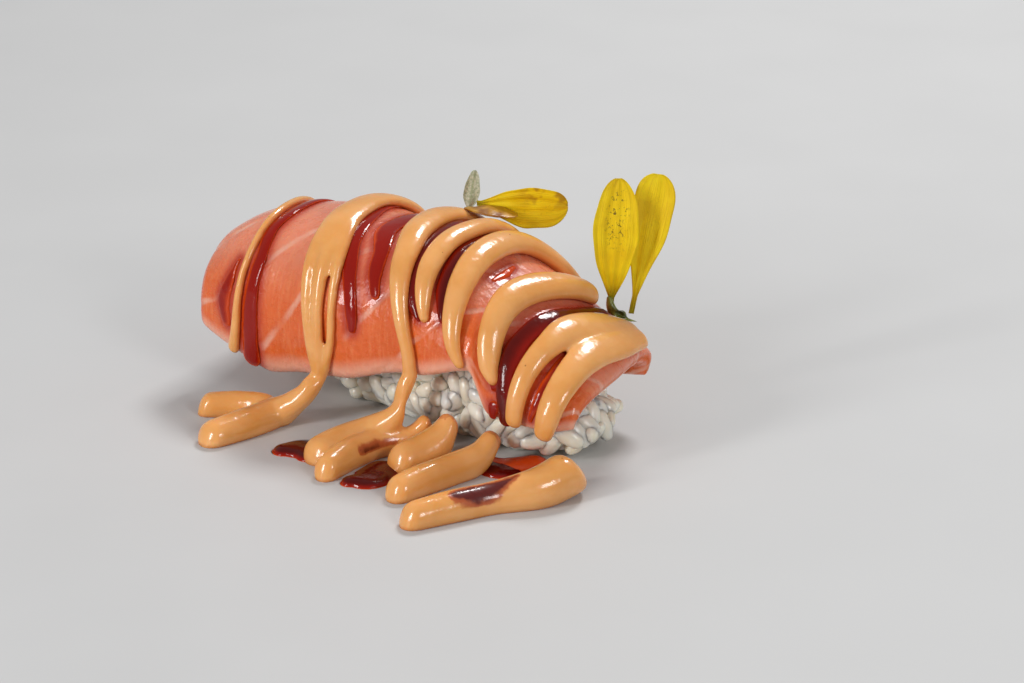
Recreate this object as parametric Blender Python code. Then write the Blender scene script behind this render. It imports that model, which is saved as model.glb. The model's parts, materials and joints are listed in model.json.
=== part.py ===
"""One salmon nigiri: a bed of pressed rice, a thick slice of salmon draped over it, creamy sauce
drizzled across both and run out onto the table in front, and three flower petals with a small leaf.

Run with: blender --background --python part.py

+X runs along the nigiri, towards the end where the slice slopes down. +Y points to the far side,
-Y to the near side, where the sauce ran out. +Z is up. The origin is on the table, under the rice.
Lengths are in millimetres here; make_object turns them into metres.
"""

import math

import bpy
import numpy as np
from mathutils import Vector, noise

MM = 0.001
GAP = 0.35  # the air between neighbouring solids

# The slice of salmon
RIDGE_HEIGHT = 31.7
SLICE_HALF_WIDTH = 16.4
SLICE_THICKNESS = 7.6  # along the ridge
SLICE_EDGE_THICKNESS = 4.8  # down the sides
BLUNT_END = (-27.0, 0.5)  # where the ridge starts to droop, and how steeply
SLOPING_END = (9.0, 0.56)
DROOP_SOFTNESS = 4.0
ARCH_POWER = 2.35  # 2 is an ellipse; more is squarer
ARCH_REACH = 0.95  # how far below the ridge the arch meets the walls, in half widths
WALL_TUCK = 1.8  # how far the hanging sides curl back in at the table
ARCH_STEPS = 28
WALL_STEPS = 8
END_NARROWING = 1.8  # how much of its half width the slice loses 40 mm from its middle
BLUNT_CUT = (-42.4, -1.8)  # where the slice starts along X, and how that slants across it
ROUND_CUT = (36.8, -2.2, -2.6)  # where it stops: place, slant, roundness
SWELLS = ((0.35, 0.31, 2.0, 0.0), (0.25, 0.17, -3.1, 1.0))  # height, waves along, waves across, shift
THINNING = (16.0, 20.0, 0.42)  # from where, over what length and by what share the slice gets thinner
END_RIM = 3.0  # over what distance the cut ends are rounded
SIDE_RIM = 2.4
SLICE_GRID = (18, 22)  # steps across and along, between the rims
RIM_POWER = 2.8  # how blunt the knife-cut rim is
HALF_ARC = 33.0  # about the length of the skin from the ridge to an edge

# Height of the slice's hanging edge above the table, at stations along X
NEAR_EDGE = (
    (-43, 11), (-34, 7.6), (-25, 4.6), (-16, 6.6), (-9, 8), (5.5, 12), (17.5, 15.6), (21, 8.8),
    (32, 8.6), (38, 10),
)
FAR_EDGE = ((-46, 12), (-32, 8.5), (-18, 6.5), (-2, 8.5), (12, 8), (24, 7.6), (33, 9), (39, 11))

# The bed of rice
RICE_ENDS = (-30.0, 33.4)
RICE_HALF_WIDTH = 10.6
RICE_BULGE = 2.4  # how far it swells below the slice's edge
RICE_LIFT = 6.5  # how far its blunt end rises off the table
RICE_SKEW = 0.12  # its ends are a little askew: x shifts by this share of y
RICE_WAIST = 3.2  # how much narrower its near side is towards the blunt end
RICE_FLAT_FROM = -9.0  # where its flat underside starts
RICE_UNEVEN = 0.55
RICE_SQUARE = 0.72  # below 1 its rings are squarer than an oval
RICE_SIDES = 30
RICE_RINGS = 27
TABLE_SNAP = 1.0  # points nearer than this to its underside lie on it

# Creamy sauce. A band is a path over the slice as (x, across), with across from -1 at the near edge to 1
# at the far one, then points (x, y, z) where it has left the slice. Widths run along the whole path.
BANDS = {
    "cream_band_1": {
        "over": (
            (-34.5, 0.5), (-32.5, 0.2), (-30.0, -0.1), (-29.0, -0.36), (-29.4, -0.62), (-30.2, -0.8),
            (-32.0, -0.95),
        ),
        "widths": (1.8, 2.2, 2.0, 1.8, 1.8, 2.2, 2.8),
        "height": 1.1,
    },
    "cream_band_2": {
        "over": (
            (-14.0, 0.6), (-14.8, 0.34), (-16.4, 0.12), (-15.8, -0.1), (-13.6, -0.3), (-12.6, -0.48),
            (-11.9, -0.66), (-11.6, -0.82), (-12.0, -0.97),
        ),
        "down": (
            (-13.6, -18.6, 5.6), (-16.2, -19.6, 3.2), (-18.6, -21.4, 2.1), (-19.6, -27.0, 2.1),
            (-21.2, -33.0, 1.9),
        ),
        "widths": (4.0, 5.0, 5.6, 6.4, 7.4, 8.4, 9.0, 8.6, 5.6, 4.2, 5.2, 6.2, 6.2, 6.0),
        "height": 1.8,
        "side": ((-17.6, -20.4, 2.4), (-21.4, -19.8, 2.2), (-26.0, -21.4, 2.0), (-30.2, -24.6, 2.0)),
        "side_widths": (5.0, 5.0, 4.8, 4.6),
    },
    "cream_band_3": {
        "over": (
            (1.0, 0.6), (-1.2, 0.36), (-2.4, 0.12), (-1.4, -0.1), (0.5, -0.28), (1.7, -0.41),
            (3.2, -0.55), (4.8, -0.7), (6.2, -0.84), (6.6, -0.97),
        ),
        "down": (
            (5.6, -17.9, 9.6), (4.6, -18.2, 5.6), (0.4, -20.4, 2.7), (-1.8, -25.0, 2.3),
            (-2.6, -28.6, 2.0),
        ),
        "widths": (4.0, 5.0, 5.6, 5.4, 4.8, 4.2, 3.6, 3.2, 3.0, 3.0, 3.2, 4.4, 6.4, 6.6, 6.4),
        "height": 2.2,
        "side": (
            (8.4, -15.6, 4.4), (6.4, -17.6, 2.6), (3.0, -21.8, 2.2), (2.2, -28.0, 2.2),
            (2.5, -33.2, 1.9),
        ),
        "side_widths": (3.4, 3.8, 5.0, 5.2, 4.6),
    },
    "cream_band_4": {
        "over": (
            (7.2, 0.44), (6.2, 0.26), (5.4, 0.06), (5.1, -0.12), (5.6, -0.31), (6.5, -0.44),
            (7.5, -0.55), (8.4, -0.64),
        ),
        "widths": (2.8, 3.4, 4.0, 4.2, 4.2, 3.6, 3.0, 2.2),
        "height": 2.0,
    },
    "cream_band_5": {
        "over": (
            (16.6, 0.66), (13.8, 0.45), (11.4, 0.25), (10.6, 0.06), (11.0, -0.18), (12.0, -0.38),
            (13.0, -0.54), (14.0, -0.69), (15.0, -0.81), (16.4, -0.93),
        ),
        "widths": (4.0, 5.0, 5.4, 5.4, 5.2, 4.8, 4.2, 3.6, 2.8, 2.0),
        "height": 2.5,
    },
    "cream_band_6": {
        "over": (
            (23.6, 0.3), (21.6, 0.14), (19.9, -0.04), (19.1, -0.24), (19.2, -0.42), (19.8, -0.56),
            (20.8, -0.66), (22.4, -0.75),
        ),
        "widths": (4.6, 5.6, 6.0, 5.8, 5.2, 4.6, 4.0, 2.8),
        "height": 2.6,
    },
    "cream_band_7": {
        "over": (
            (32.2, 0.36), (30.4, 0.12), (28.5, -0.18), (28.0, -0.42), (27.6, -0.6), (27.3, -0.78),
            (27.0, -0.94),
        ),
        "widths": (6.0, 7.0, 6.2, 4.8, 4.2, 3.8, 3.4),
        "height": 2.4,
        "second": (
            (33.4, 0.36), (33.4, 0.1), (33.0, -0.16), (33.1, -0.42), (33.4, -0.66), (33.2, -0.84),
            (32.4, -0.97),
        ),
        "second_widths": (5.6, 6.4, 6.6, 6.0, 5.2, 4.6, 4.0),
    },
}
# Sauce lying on the table alone: paths (x, y, z of the middle), widths
POOLS = {
    "cream_trail_1": (
        (
            (13.2, -15.6, 5.2), (12.6, -17.2, 3.2), (11.4, -20.4, 2.5), (10.4, -23.8, 2.2),
        ),
        (4.2, 6.0, 6.2, 5.6),
    ),
    "cream_trail_2": (
        (
            (21.4, -15.2, 4.6), (20.9, -18.0, 3.0), (19.2, -23.0, 2.3), (17.8, -28.6, 2.2),
            (16.9, -33.0, 2.0),
        ),
        (3.6, 4.6, 4.8, 5.2, 5.0),
    ),
    "cream_trail_3": (
        (
            (37.4, -17.0, 3.6), (35.4, -22.0, 3.0), (31.0, -28.0, 2.3), (27.6, -34.0, 2.2),
            (24.8, -39.7, 2.0),
        ),
        (7.4, 7.0, 5.4, 5.6, 5.2),
    ),
}
STRAND_SIDES = 8
STRAND_STEP = 2.9
TRAIL_DEPTH = 2.2  # a trail's section, in heights of its middle: more than 2 lays its underside flat

# Petals: base point, lean of the mid-rib as (along the width, up, away), length, width
PETAL_FACING = math.radians(35.5)  # the turn about Z that the petals' faces share
PETAL_THICKNESS = 0.5
PETAL_GRID = (11, 7)  # points along and across
PETALS = {
    "petal_1": {
        "base": (25.2, 13.2, 19.8),
        "lean": (0.05, 1.0, 0.02),
        "size": (21.6, 7.4),
        "widest": 0.58,
        "cup": 0.9,
    },
    "petal_2": {
        "base": (27.3, 15.9, 17.4),
        "lean": (0.18, 1.0, 0.06),
        "size": (24.6, 6.8),
        "widest": 0.7,
        "cup": 0.5,
    },
    "petal_3": {
        "base": (-1.2, 11.6, 32.4),
        "lean": (1.0, 0.0, -0.12),
        "size": (15.6, 7.0),
        "widest": 0.6,
        "cup": 0.9,
    },
    "leaf": {
        "base": (-2.8, 12.2, 31.0),
        "lean": (0.16, 1.0, 0.06),
        "size": (6.8, 2.7),
        "widest": 0.45,
        "cup": 0.3,
    },
}

COLOURS = {
    "rice": ((0.80, 0.77, 0.70), 0.35),
    "salmon": ((0.80, 0.25, 0.08), 0.25),
    "cream": ((0.78, 0.47, 0.19), 0.2),
    "petal": ((0.80, 0.60, 0.02), 0.5),
    "leaf": ((0.45, 0.50, 0.32), 0.5),
}


def material(kind):
    """A plain Principled material of this kind's colour and roughness, made once."""
    made = bpy.data.materials.get(kind)
    if made is None:
        made = bpy.data.materials.new(kind)
        made.use_nodes = True
        colour, roughness = COLOURS[kind]
        shader = made.node_tree.nodes["Principled BSDF"]
        shader.inputs["Base Color"].default_value = (*colour, 1)
        shader.inputs["Roughness"].default_value = roughness
        shader.inputs["Metallic"].default_value = 0.0
    return made


def make_object(name, points, faces, kind):
    """A smooth-shaded mesh object from points in millimetres."""
    mesh = bpy.data.meshes.new(name)
    mesh.from_pydata([[c * MM for c in p] for p in points], [], faces)
    mesh.materials.append(material(kind))
    mesh.shade_smooth()
    mesh.set_sharp_from_angle(angle=math.radians(60))
    made = bpy.data.objects.new(name, mesh)
    bpy.context.scene.collection.objects.link(made)
    return made


def smooth_value(stations, at):
    """The height at a place between stations (place, height), on a curve that has no corners."""
    places = [s[0] for s in stations]
    heights = [s[1] for s in stations]
    at = min(max(at, places[0]), places[-1])
    i = min(int(np.searchsorted(places, at, side="right")) - 1, len(places) - 2)
    share = (at - places[i]) / (places[i + 1] - places[i])
    ease = share * share * (3 - 2 * share)
    return heights[i] + (heights[i + 1] - heights[i]) * (0.6 * ease + 0.4 * share)


def smooth_path(points, count):
    """count points along a Catmull-Rom curve through points of any dimension, evenly spread."""
    p = np.array(points, float)
    p = np.vstack([2 * p[0] - p[1], p, 2 * p[-1] - p[-2]])
    fine = []
    for a, b, c, d in zip(p, p[1:], p[2:], p[3:]):
        for s in np.linspace(0, 1, 12, endpoint=False):
            square = (2 * a - 5 * b + 4 * c - d) * s**2
            cube = (3 * b - a - 3 * c + d) * s**3
            fine.append(0.5 * (2 * b + (c - a) * s + square + cube))
    fine.append(p[-2])
    fine = np.array(fine)
    run = np.concatenate([[0], np.cumsum(np.linalg.norm(np.diff(fine[:, :3], axis=0), axis=1))])
    at = np.linspace(0, run[-1], count)
    return np.array([[np.interp(s, run, column) for column in fine.T] for s in at])


# ---- the slice of salmon ----


def droop(distance, slope):
    """How far the ridge has dropped at a distance past where an end starts to droop."""
    return slope * DROOP_SOFTNESS * math.log1p(math.exp(distance / DROOP_SOFTNESS))


def ridge_height(x):
    """Height of the slice's ridge above the table."""
    blunt = droop(BLUNT_END[0] - x, BLUNT_END[1])
    sloping = droop(x - SLOPING_END[0], SLOPING_END[1])
    return RIDGE_HEIGHT - blunt - sloping


def slice_ends(across):
    """Where the slice starts and stops along X: one end is cut on a slant, the other is rounded."""
    blunt = BLUNT_CUT[0] + BLUNT_CUT[1] * across
    sloping = ROUND_CUT[0] + ROUND_CUT[1] * across + ROUND_CUT[2] * across**2
    return blunt, sloping


def half_width(x):
    """Half the slice's width, which is greatest in the middle of the nigiri."""
    return SLICE_HALF_WIDTH - END_NARROWING * abs(x / 40) ** 3


def arch_point(x, across):
    """(y, z) on the slice's even skin: an arch on two hanging walls, walked by its length."""
    stations = NEAR_EDGE if across < 0 else FAR_EDGE
    edge, top, width = smooth_value(stations, x), ridge_height(x), half_width(x)
    shoulder = max(top - ARCH_REACH * width, edge + 1.0)
    angle = np.linspace(0, math.pi / 2, ARCH_STEPS)
    y = width * np.sin(angle) ** (2 / ARCH_POWER)
    z = shoulder + (top - shoulder) * np.cos(angle) ** (2 / ARCH_POWER)
    fall = np.linspace(0, 1, WALL_STEPS)[1:]
    y = np.concatenate([y, width - WALL_TUCK * (fall * (shoulder - edge) / shoulder) ** 2 * 2])
    z = np.concatenate([z, shoulder - fall * (shoulder - edge)])
    run = np.concatenate([[0], np.cumsum(np.hypot(np.diff(y), np.diff(z)))])
    at = abs(across) * run[-1]
    return math.copysign(np.interp(at, run, y), across), np.interp(at, run, z)


def swell(x, across):
    """The gentle unevenness of the soft slice, outward positive."""
    return sum(high * math.sin(run * x + over * across + shift) for high, run, over, shift in SWELLS)


def skin_point(x, across):
    y, z = arch_point(x, across)
    return Vector((x, y, z))


def skin(x, across):
    """(point, outward normal) of the slice's upper skin."""
    dx, da = 0.6, 0.02
    along = skin_point(x + dx, across) - skin_point(x - dx, across)
    over = skin_point(x, min(across + da, 1.0)) - skin_point(x, max(across - da, -1.0))
    normal = along.cross(over).normalized()
    return skin_point(x, across) + normal * swell(x, across), normal


def slice_thickness(x, across):
    """Thick along the ridge, thinner at the hanging sides and towards the sloping end."""
    thick = SLICE_THICKNESS - (SLICE_THICKNESS - SLICE_EDGE_THICKNESS) * abs(across) ** 1.4
    start, length, share = THINNING
    return thick * (1 - share * min(max((x - start) / length, 0.0), 1.0) ** 1.5)


def crowded(length, steps, rim):
    """Distances along a length: crowded where its two rims are rounded, in even steps between them."""
    near_rim = rim * (1 - np.cos(np.linspace(0, math.pi / 2, 4)))
    middle = np.linspace(rim, length - rim, steps + 1)
    return np.concatenate([near_rim[:-1], middle, (length - near_rim[:-1])[::-1]])


def rim_share(distance, radius):
    """Share of the full half thickness at a distance from the cut edge."""
    share = min(distance / radius, 1.0)
    return (1 - (1 - share) ** RIM_POWER) ** (1 / RIM_POWER)


def make_salmon():
    across_steps, along_steps = SLICE_GRID
    acrosses = crowded(2 * HALF_ARC, across_steps, SIDE_RIM) / HALF_ARC - 1
    outer, inner = [], []
    for across in acrosses:
        start, stop = slice_ends(across)
        for run in crowded(stop - start, along_steps, END_RIM):
            point, normal = skin(start + run, across)
            thick = slice_thickness(start + run, across)
            rim = rim_share(min(run, stop - start - run), END_RIM)
            rim *= rim_share((1 - abs(across)) * HALF_ARC, SIDE_RIM)
            middle = point - normal * thick / 2
            outer.append(middle + normal * thick / 2 * rim)
            inner.append(middle - normal * thick / 2 * rim)
    rows = len(acrosses)
    columns = len(outer) // rows
    return close_shell("salmon_slice", outer, inner, rows, columns, "salmon")


def close_shell(name, outer, inner, rows, columns, kind):
    """One closed mesh from two grids that share their outline."""
    points = list(outer)
    below = {}
    for i in range(rows * columns):
        row, column = divmod(i, columns)
        if row in (0, rows - 1) or column in (0, columns - 1):
            below[i] = i
        else:
            below[i] = len(points)
            points.append(inner[i])
    faces = []
    for row in range(rows - 1):
        for column in range(columns - 1):
            a = row * columns + column
            quad = (a, a + 1, a + columns + 1, a + columns)
            faces.append(quad)
            faces.append(tuple(below[i] for i in reversed(quad)))
    return make_object(name, points, faces, kind)


# ---- the bed of rice ----


def rice_floor(x):
    """Height of the rice's underside: flat on the table, rising to the blunt end."""
    return RICE_LIFT * max((RICE_FLAT_FROM - x) / (RICE_FLAT_FROM - RICE_ENDS[0]), 0.0) ** 2


def rice_ring(x, sides):
    """One ring of the rice at x: under the slice it stays clear of the flesh, below the slice it swells."""
    start, stop = RICE_ENDS
    taper = 1 - abs((2 * x - start - stop) / (stop - start)) ** 5.0
    taper = max(taper, 0.0) ** (1 / 2.4)
    floor = rice_floor(x)
    top = ridge_height(x) - SLICE_THICKNESS - GAP - 1.0
    middle, rise = (top + floor) / 2, (top - floor) / 2
    ring = []
    for k in range(sides):
        angle = 2 * math.pi * k / sides
        side, up = math.sin(angle), math.cos(angle)
        z = middle + rise * taper**0.8 * math.copysign(abs(up) ** RICE_SQUARE, up)
        edge = min(smooth_value(NEAR_EDGE if side < 0 else FAR_EDGE, x + reach) for reach in (-2.5, 0, 2.5))
        swollen = min(max((edge - 0.6 - z) / 3.0, 0.0), 1.0)
        width = (RICE_HALF_WIDTH + RICE_BULGE * swollen) * taper
        if side < 0:
            width -= RICE_WAIST * min(max((4.0 - x) / 14.0, 0.0), 1.0) * taper
        y = width * math.copysign(abs(side) ** RICE_SQUARE, side)
        bump = noise.noise(Vector((x, y * 1.3, z)) * 0.33) * RICE_UNEVEN
        bump = bump * (0.4 + swollen) - 0.3
        if z < floor + 3.0:
            y *= 1 - 0.15 * ((floor + 3.0 - z) / 3.0) ** 2
        y += bump * side
        z += bump * up
        ring.append((x - RICE_SKEW * y, y, floor if z < floor + TABLE_SNAP else z))
    return ring


def make_rice():
    sides = RICE_SIDES
    start, stop = RICE_ENDS
    middle, half = (start + stop) / 2, (stop - start) / 2
    stations = middle + half * np.sin(np.linspace(-math.pi / 2, math.pi / 2, RICE_RINGS)[1:-1])
    points = [p for x in stations for p in rice_ring(x, sides)]
    faces = []
    for i in range(len(stations) - 1):
        for k in range(sides):
            a, b = i * sides + k, i * sides + (k + 1) % sides
            faces.append((a + sides, b + sides, b, a))
    for i, tip in ((0, -1), (len(stations) - 1, 1)):
        ring = points[i * sides : (i + 1) * sides]
        centre = np.mean(ring, axis=0) + np.array([0.25 * tip, 0, 0])
        points.append(tuple(centre))
        for k in range(sides):
            a, b = i * sides + k, i * sides + (k + 1) % sides
            faces.append((len(points) - 1, a, b) if tip < 0 else (len(points) - 1, b, a))
    return make_object("rice_bed", points, faces, "rice")


# ---- the creamy sauce ----


def tube(path, ups, widths, heights):
    """A closed tube with an oval section and round ends. Each of its rings lies across the path."""
    points, faces = [], []
    last = len(path) - 1
    for i, (centre, up, width, height) in enumerate(zip(path, ups, widths, heights)):
        ahead = Vector(path[min(i + 1, last)]) - Vector(path[max(i - 1, 0)])
        ahead.normalize()
        side = ahead.cross(Vector(up)).normalized()
        lift = side.cross(ahead).normalized()
        for k in range(STRAND_SIDES):
            angle = 2 * math.pi * (k + 0.5) / STRAND_SIDES
            p = Vector(centre) + side * (math.cos(angle) * width / 2) + lift * (math.sin(angle) * height / 2)
            p.z = max(p.z, 0.0)
            points.append(p)
    for i in range(last):
        for k in range(STRAND_SIDES):
            a = i * STRAND_SIDES + k
            b = i * STRAND_SIDES + (k + 1) % STRAND_SIDES
            faces.append((a + STRAND_SIDES, b + STRAND_SIDES, b, a))
    faces.append(tuple(range(STRAND_SIDES)))
    faces.append(tuple(reversed(range(last * STRAND_SIDES, (last + 1) * STRAND_SIDES))))
    return points, faces


def round_ends(path, ups, widths, heights):
    """Adds two smaller rings past each end, so that a strand ends in a round drop."""
    def cap(at, beside, up, width, height):
        out = (Vector(at) - Vector(beside)).normalized()
        rings = []
        for angle in (math.radians(40), math.radians(72)):
            reach = Vector(at) + out * (min(width, 5.0) / 2 * math.sin(angle))
            rings.append((reach, up, width * math.cos(angle), height * math.cos(angle)))
        return rings

    first = cap(path[0], path[1], ups[0], widths[0], heights[0])[::-1]
    last = cap(path[-1], path[-2], ups[-1], widths[-1], heights[-1])
    rings = first + list(zip(path, ups, widths, heights)) + last
    return [list(column) for column in zip(*rings)]


def strand_mesh(over, down, widths, height):
    """(points, faces) of one strand: over the slice, a gap above its skin, then down to the table."""
    rows = []
    if over:
        stations = [(x, across * HALF_ARC, 0.0, width) for (x, across), width in zip(over, widths)]
        for x, reach, _, width in smooth_path(stations, 3 * len(over)):
            point, normal = skin(x, reach / HALF_ARC)
            rows.append((*(point + normal * (GAP + height / 2)), *normal, width, height))
    for point, width in zip(down, widths[len(over) :]):
        thick = min(TRAIL_DEPTH * point[2], 1.05 * width)
        rows.append((*point, 0.0, -0.35 if point[2] > 3 else 0.0, 1.0, width, thick))
    length = sum(math.dist(a[:3], b[:3]) for a, b in zip(rows, rows[1:]))
    rows = smooth_path(rows, max(4, round(length / STRAND_STEP)))
    path, ups = rows[:, :3], rows[:, 3:6]
    return tube(*round_ends(path, ups, rows[:, 6], rows[:, 7]))


def union(first, second):
    """first becomes the two solids joined, and second is removed."""
    joined = first.modifiers.new("join", "BOOLEAN")
    joined.operation = "UNION"
    joined.solver = "EXACT"
    joined.object = second
    graph = bpy.context.evaluated_depsgraph_get()
    mesh = bpy.data.meshes.new_from_object(first.evaluated_get(graph))
    first.modifiers.clear()
    first.data = mesh
    bpy.data.objects.remove(second)


def make_band(name, band):
    points, faces = strand_mesh(band["over"], band.get("down", ()), band["widths"], band["height"])
    main = make_object(name, points, faces, "cream")
    if "side" in band:
        other = strand_mesh((), band["side"], band["side_widths"], 0)
        union(main, make_object(name + "_side", *other, "cream"))
    if "second" in band:
        other = strand_mesh(band["second"], (), band["second_widths"], band["height"])
        union(main, make_object(name + "_second", *other, "cream"))
    return main


# ---- petals and leaf ----


def petal_outline(share, widest):
    """Half width of a petal, as a share of its full width, from its narrow base to its round tip."""
    return 0.5 * max(0.14, math.sin(math.pi * share ** (math.log(0.5) / math.log(widest))) ** 0.7)


def make_petal(name, base, lean, size, widest, cup):
    length, width = size
    across_dir = Vector((math.cos(PETAL_FACING), math.sin(PETAL_FACING), 0))
    away_dir = Vector((-math.sin(PETAL_FACING), math.cos(PETAL_FACING), 0))
    along = (across_dir * lean[0] + Vector((0, 0, 1)) * lean[1] + away_dir * lean[2]).normalized()
    side = along.cross(away_dir).normalized()
    facing = side.cross(along).normalized()
    rows, columns = PETAL_GRID
    front, back = [], []
    for i in range(rows):
        share = 0.03 + 0.94 * i / (rows - 1)
        for k in range(columns):
            over = -1 + 2 * k / (columns - 1)
            half = petal_outline(share, widest)
            flat = Vector(base) + along * (length * share) + side * (over * width * half)
            bend = cup * (over**2 * half * 2 - 0.9 * (2 * share - 1) ** 2)
            thick = PETAL_THICKNESS / 2
            front.append(flat - facing * (bend + thick))
            back.append(flat - facing * (bend - thick))
    points = back + front
    count = rows * columns
    faces = []
    for row in range(rows - 1):
        for column in range(columns - 1):
            a = row * columns + column
            quad = (a, a + 1, a + columns + 1, a + columns)
            faces.append(quad)
            faces.append(tuple(i + count for i in reversed(quad)))
    outline = [k for k in range(columns)]
    outline += [row * columns + columns - 1 for row in range(1, rows)]
    outline += [(rows - 1) * columns + k for k in range(columns - 2, -1, -1)]
    outline += [row * columns for row in range(rows - 2, 0, -1)]
    for a, b in zip(outline, outline[1:] + outline[:1]):
        faces.append((b, a, a + count, b + count))
    return make_object(name, points, faces, "leaf" if name == "leaf" else "petal")


def main():
    for old in list(bpy.data.objects):
        bpy.data.objects.remove(old)
    make_rice()
    make_salmon()
    for name, band in BANDS.items():
        make_band(name, band)
    for name, (path, widths) in POOLS.items():
        make_object(name, *strand_mesh((), path, widths, 0), "cream")
    for name, petal in PETALS.items():
        make_petal(name, **petal)


main()
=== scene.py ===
# %% [markdown]
# # A salmon nigiri, built as a lesson
# A nigiri is a bed of pressed rice with a slice of raw salmon draped over it. This one is dressed
# with ribbons of creamy sauce, thin stripes of dark sauce between them, and three petals.
#
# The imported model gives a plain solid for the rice, the slice, each run of creamy sauce, each petal
# and the leaf beside them. The cells below make what the eye sees: every piece is made where its
# solid lies, and stands for it. The dark sauce and what is left of the flower are too thin to have
# solids, and are added here.

import json
import math

import bmesh
import bpy
import numpy as np
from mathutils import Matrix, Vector
from mathutils.bvhtree import BVHTree

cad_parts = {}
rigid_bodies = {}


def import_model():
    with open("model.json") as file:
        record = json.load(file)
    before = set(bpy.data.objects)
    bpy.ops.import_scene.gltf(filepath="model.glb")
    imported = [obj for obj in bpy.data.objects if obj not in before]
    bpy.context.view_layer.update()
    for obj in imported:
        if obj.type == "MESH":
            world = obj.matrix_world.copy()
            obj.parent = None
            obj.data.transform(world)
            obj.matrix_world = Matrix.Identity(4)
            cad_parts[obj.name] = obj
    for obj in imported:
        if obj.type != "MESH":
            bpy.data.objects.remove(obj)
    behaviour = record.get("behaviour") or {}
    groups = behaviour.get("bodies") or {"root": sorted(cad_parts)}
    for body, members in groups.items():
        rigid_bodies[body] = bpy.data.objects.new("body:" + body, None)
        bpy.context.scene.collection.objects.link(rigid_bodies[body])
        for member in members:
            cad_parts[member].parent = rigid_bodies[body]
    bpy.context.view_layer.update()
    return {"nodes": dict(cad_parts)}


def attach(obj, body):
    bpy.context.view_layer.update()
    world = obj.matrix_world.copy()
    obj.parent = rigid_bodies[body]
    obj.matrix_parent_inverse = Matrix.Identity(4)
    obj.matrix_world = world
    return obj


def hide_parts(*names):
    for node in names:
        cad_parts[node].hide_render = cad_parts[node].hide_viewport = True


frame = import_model()
MM = 0.001
print("solids in the frame:", len(frame["nodes"]))

# %% [markdown]
# ## The view
# A nigiri is usually looked at from the front and a little above, from the distance of a diner with a
# long lens, so that its near end isn't blown up. The camera comes first, because everything after it
# can then be looked at.

# %% Camera
TURN, TILT = math.radians(35.5), math.radians(21.5)
back = Vector((math.sin(TURN) * math.cos(TILT), -math.cos(TURN) * math.cos(TILT), math.sin(TILT)))
lens = bpy.data.cameras.new("camera")
lens.lens = 116.02
lens.sensor_width = 36
lens.clip_start = 0.01
camera = bpy.data.objects.new("camera", lens)
camera.location = (0.30457, -0.40633, 0.21189)
camera.rotation_euler = back.to_track_quat("Z", "Y").to_euler()
bpy.context.scene.collection.objects.link(camera)
bpy.context.scene.camera = camera
print("camera", round(camera.location.length, 3), "m from the nigiri")

# %% [markdown]
# ## Nodes as Python expressions
# Materials and Geometry Nodes trees are both trees of nodes. One function adds any node: its
# settings are set first, because they decide which sockets there are, and then its sockets get
# values or links. A small class wraps an output socket, so that shader maths reads like maths.

# %% Node helpers


def node(tree, kind, settings=None, inputs=None):
    """Adds a node to a tree. inputs are given by name or by number."""
    made = tree.nodes.new(kind)
    for name, value in (settings or {}).items():
        setattr(made, name, value)
    for key, value in (inputs or {}).items():
        socket = made.inputs[key]
        if isinstance(value, Value):
            tree.links.new(value.socket, socket)
        elif isinstance(value, bpy.types.NodeSocket):
            tree.links.new(value, socket)
        else:
            socket.default_value = value
    return made


class Value:
    """A socket's value in a material. Operators on it add Math nodes."""

    def __init__(self, tree, socket):
        self.tree = tree
        self.socket = socket

    def math(self, operation, *inputs):
        made = node(self.tree, "ShaderNodeMath", {"operation": operation}, dict(enumerate(inputs)))
        return Value(self.tree, made.outputs[0])

    def __add__(self, other):
        return self.math("ADD", self, other)

    def __sub__(self, other):
        return self.math("SUBTRACT", self, other)

    def __mul__(self, other):
        return self.math("MULTIPLY", self, other)

    def __truediv__(self, other):
        return self.math("DIVIDE", self, other)

    def __rsub__(self, other):
        return self.math("SUBTRACT", other, self)

    def __rtruediv__(self, other):
        return self.math("DIVIDE", other, self)

    __radd__ = __add__
    __rmul__ = __mul__

    def __abs__(self):
        return self.math("ABSOLUTE", self)

    def part(self, index):
        """One coordinate of a vector."""
        made = node(self.tree, "ShaderNodeSeparateXYZ", {}, {0: self})
        return Value(self.tree, made.outputs[index])

    def scaled(self, x, y, z):
        """A vector with each coordinate multiplied, which stretches a pattern read at it."""
        settings = {"operation": "MULTIPLY"}
        made = node(self.tree, "ShaderNodeVectorMath", settings, {0: self, 1: (x, y, z)})
        return Value(self.tree, made.outputs[0])

    def noise(self, scale, detail=2.0, roughness=0.5):
        inputs = {"Vector": self, "Scale": scale, "Detail": detail, "Roughness": roughness}
        made = node(self.tree, "ShaderNodeTexNoise", {}, inputs)
        return Value(self.tree, made.outputs[0])

    def spots(self, scale, radius, share):
        """1 inside round spots, which sit in a share of the cells of a Voronoi pattern."""
        made = node(self.tree, "ShaderNodeTexVoronoi", {}, {"Vector": self, "Scale": scale})
        near = Value(self.tree, made.outputs["Distance"]).fade(radius, radius * 0.5)
        chosen = Value(self.tree, made.outputs["Color"]).part(0)
        return near * chosen.math("LESS_THAN", chosen, share)

    def fade(self, low, high):
        """0 at low and 1 at high, eased between them."""
        inputs = {"Value": self, "From Min": low, "From Max": high}
        made = node(self.tree, "ShaderNodeMapRange", {"interpolation_type": "SMOOTHSTEP"}, inputs)
        return Value(self.tree, made.outputs[0])


def blend(amount, first, second):
    """The colour first where amount is 0, and second where it is 1."""
    colours = [(*c, 1) if isinstance(c, tuple) else c for c in (first, second)]
    inputs = {0: amount, 6: colours[0], 7: colours[1]}
    made = node(amount.tree, "ShaderNodeMix", {"data_type": "RGBA"}, inputs)
    return Value(amount.tree, made.outputs[2])


def new_material(name):
    """A material's tree, and the Object coordinates in it as a Value."""
    made = bpy.data.materials.new(name)
    made.use_nodes = True
    tree = made.node_tree
    place = Value(tree, node(tree, "ShaderNodeTexCoord").outputs["Object"])
    return made, tree, place


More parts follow.
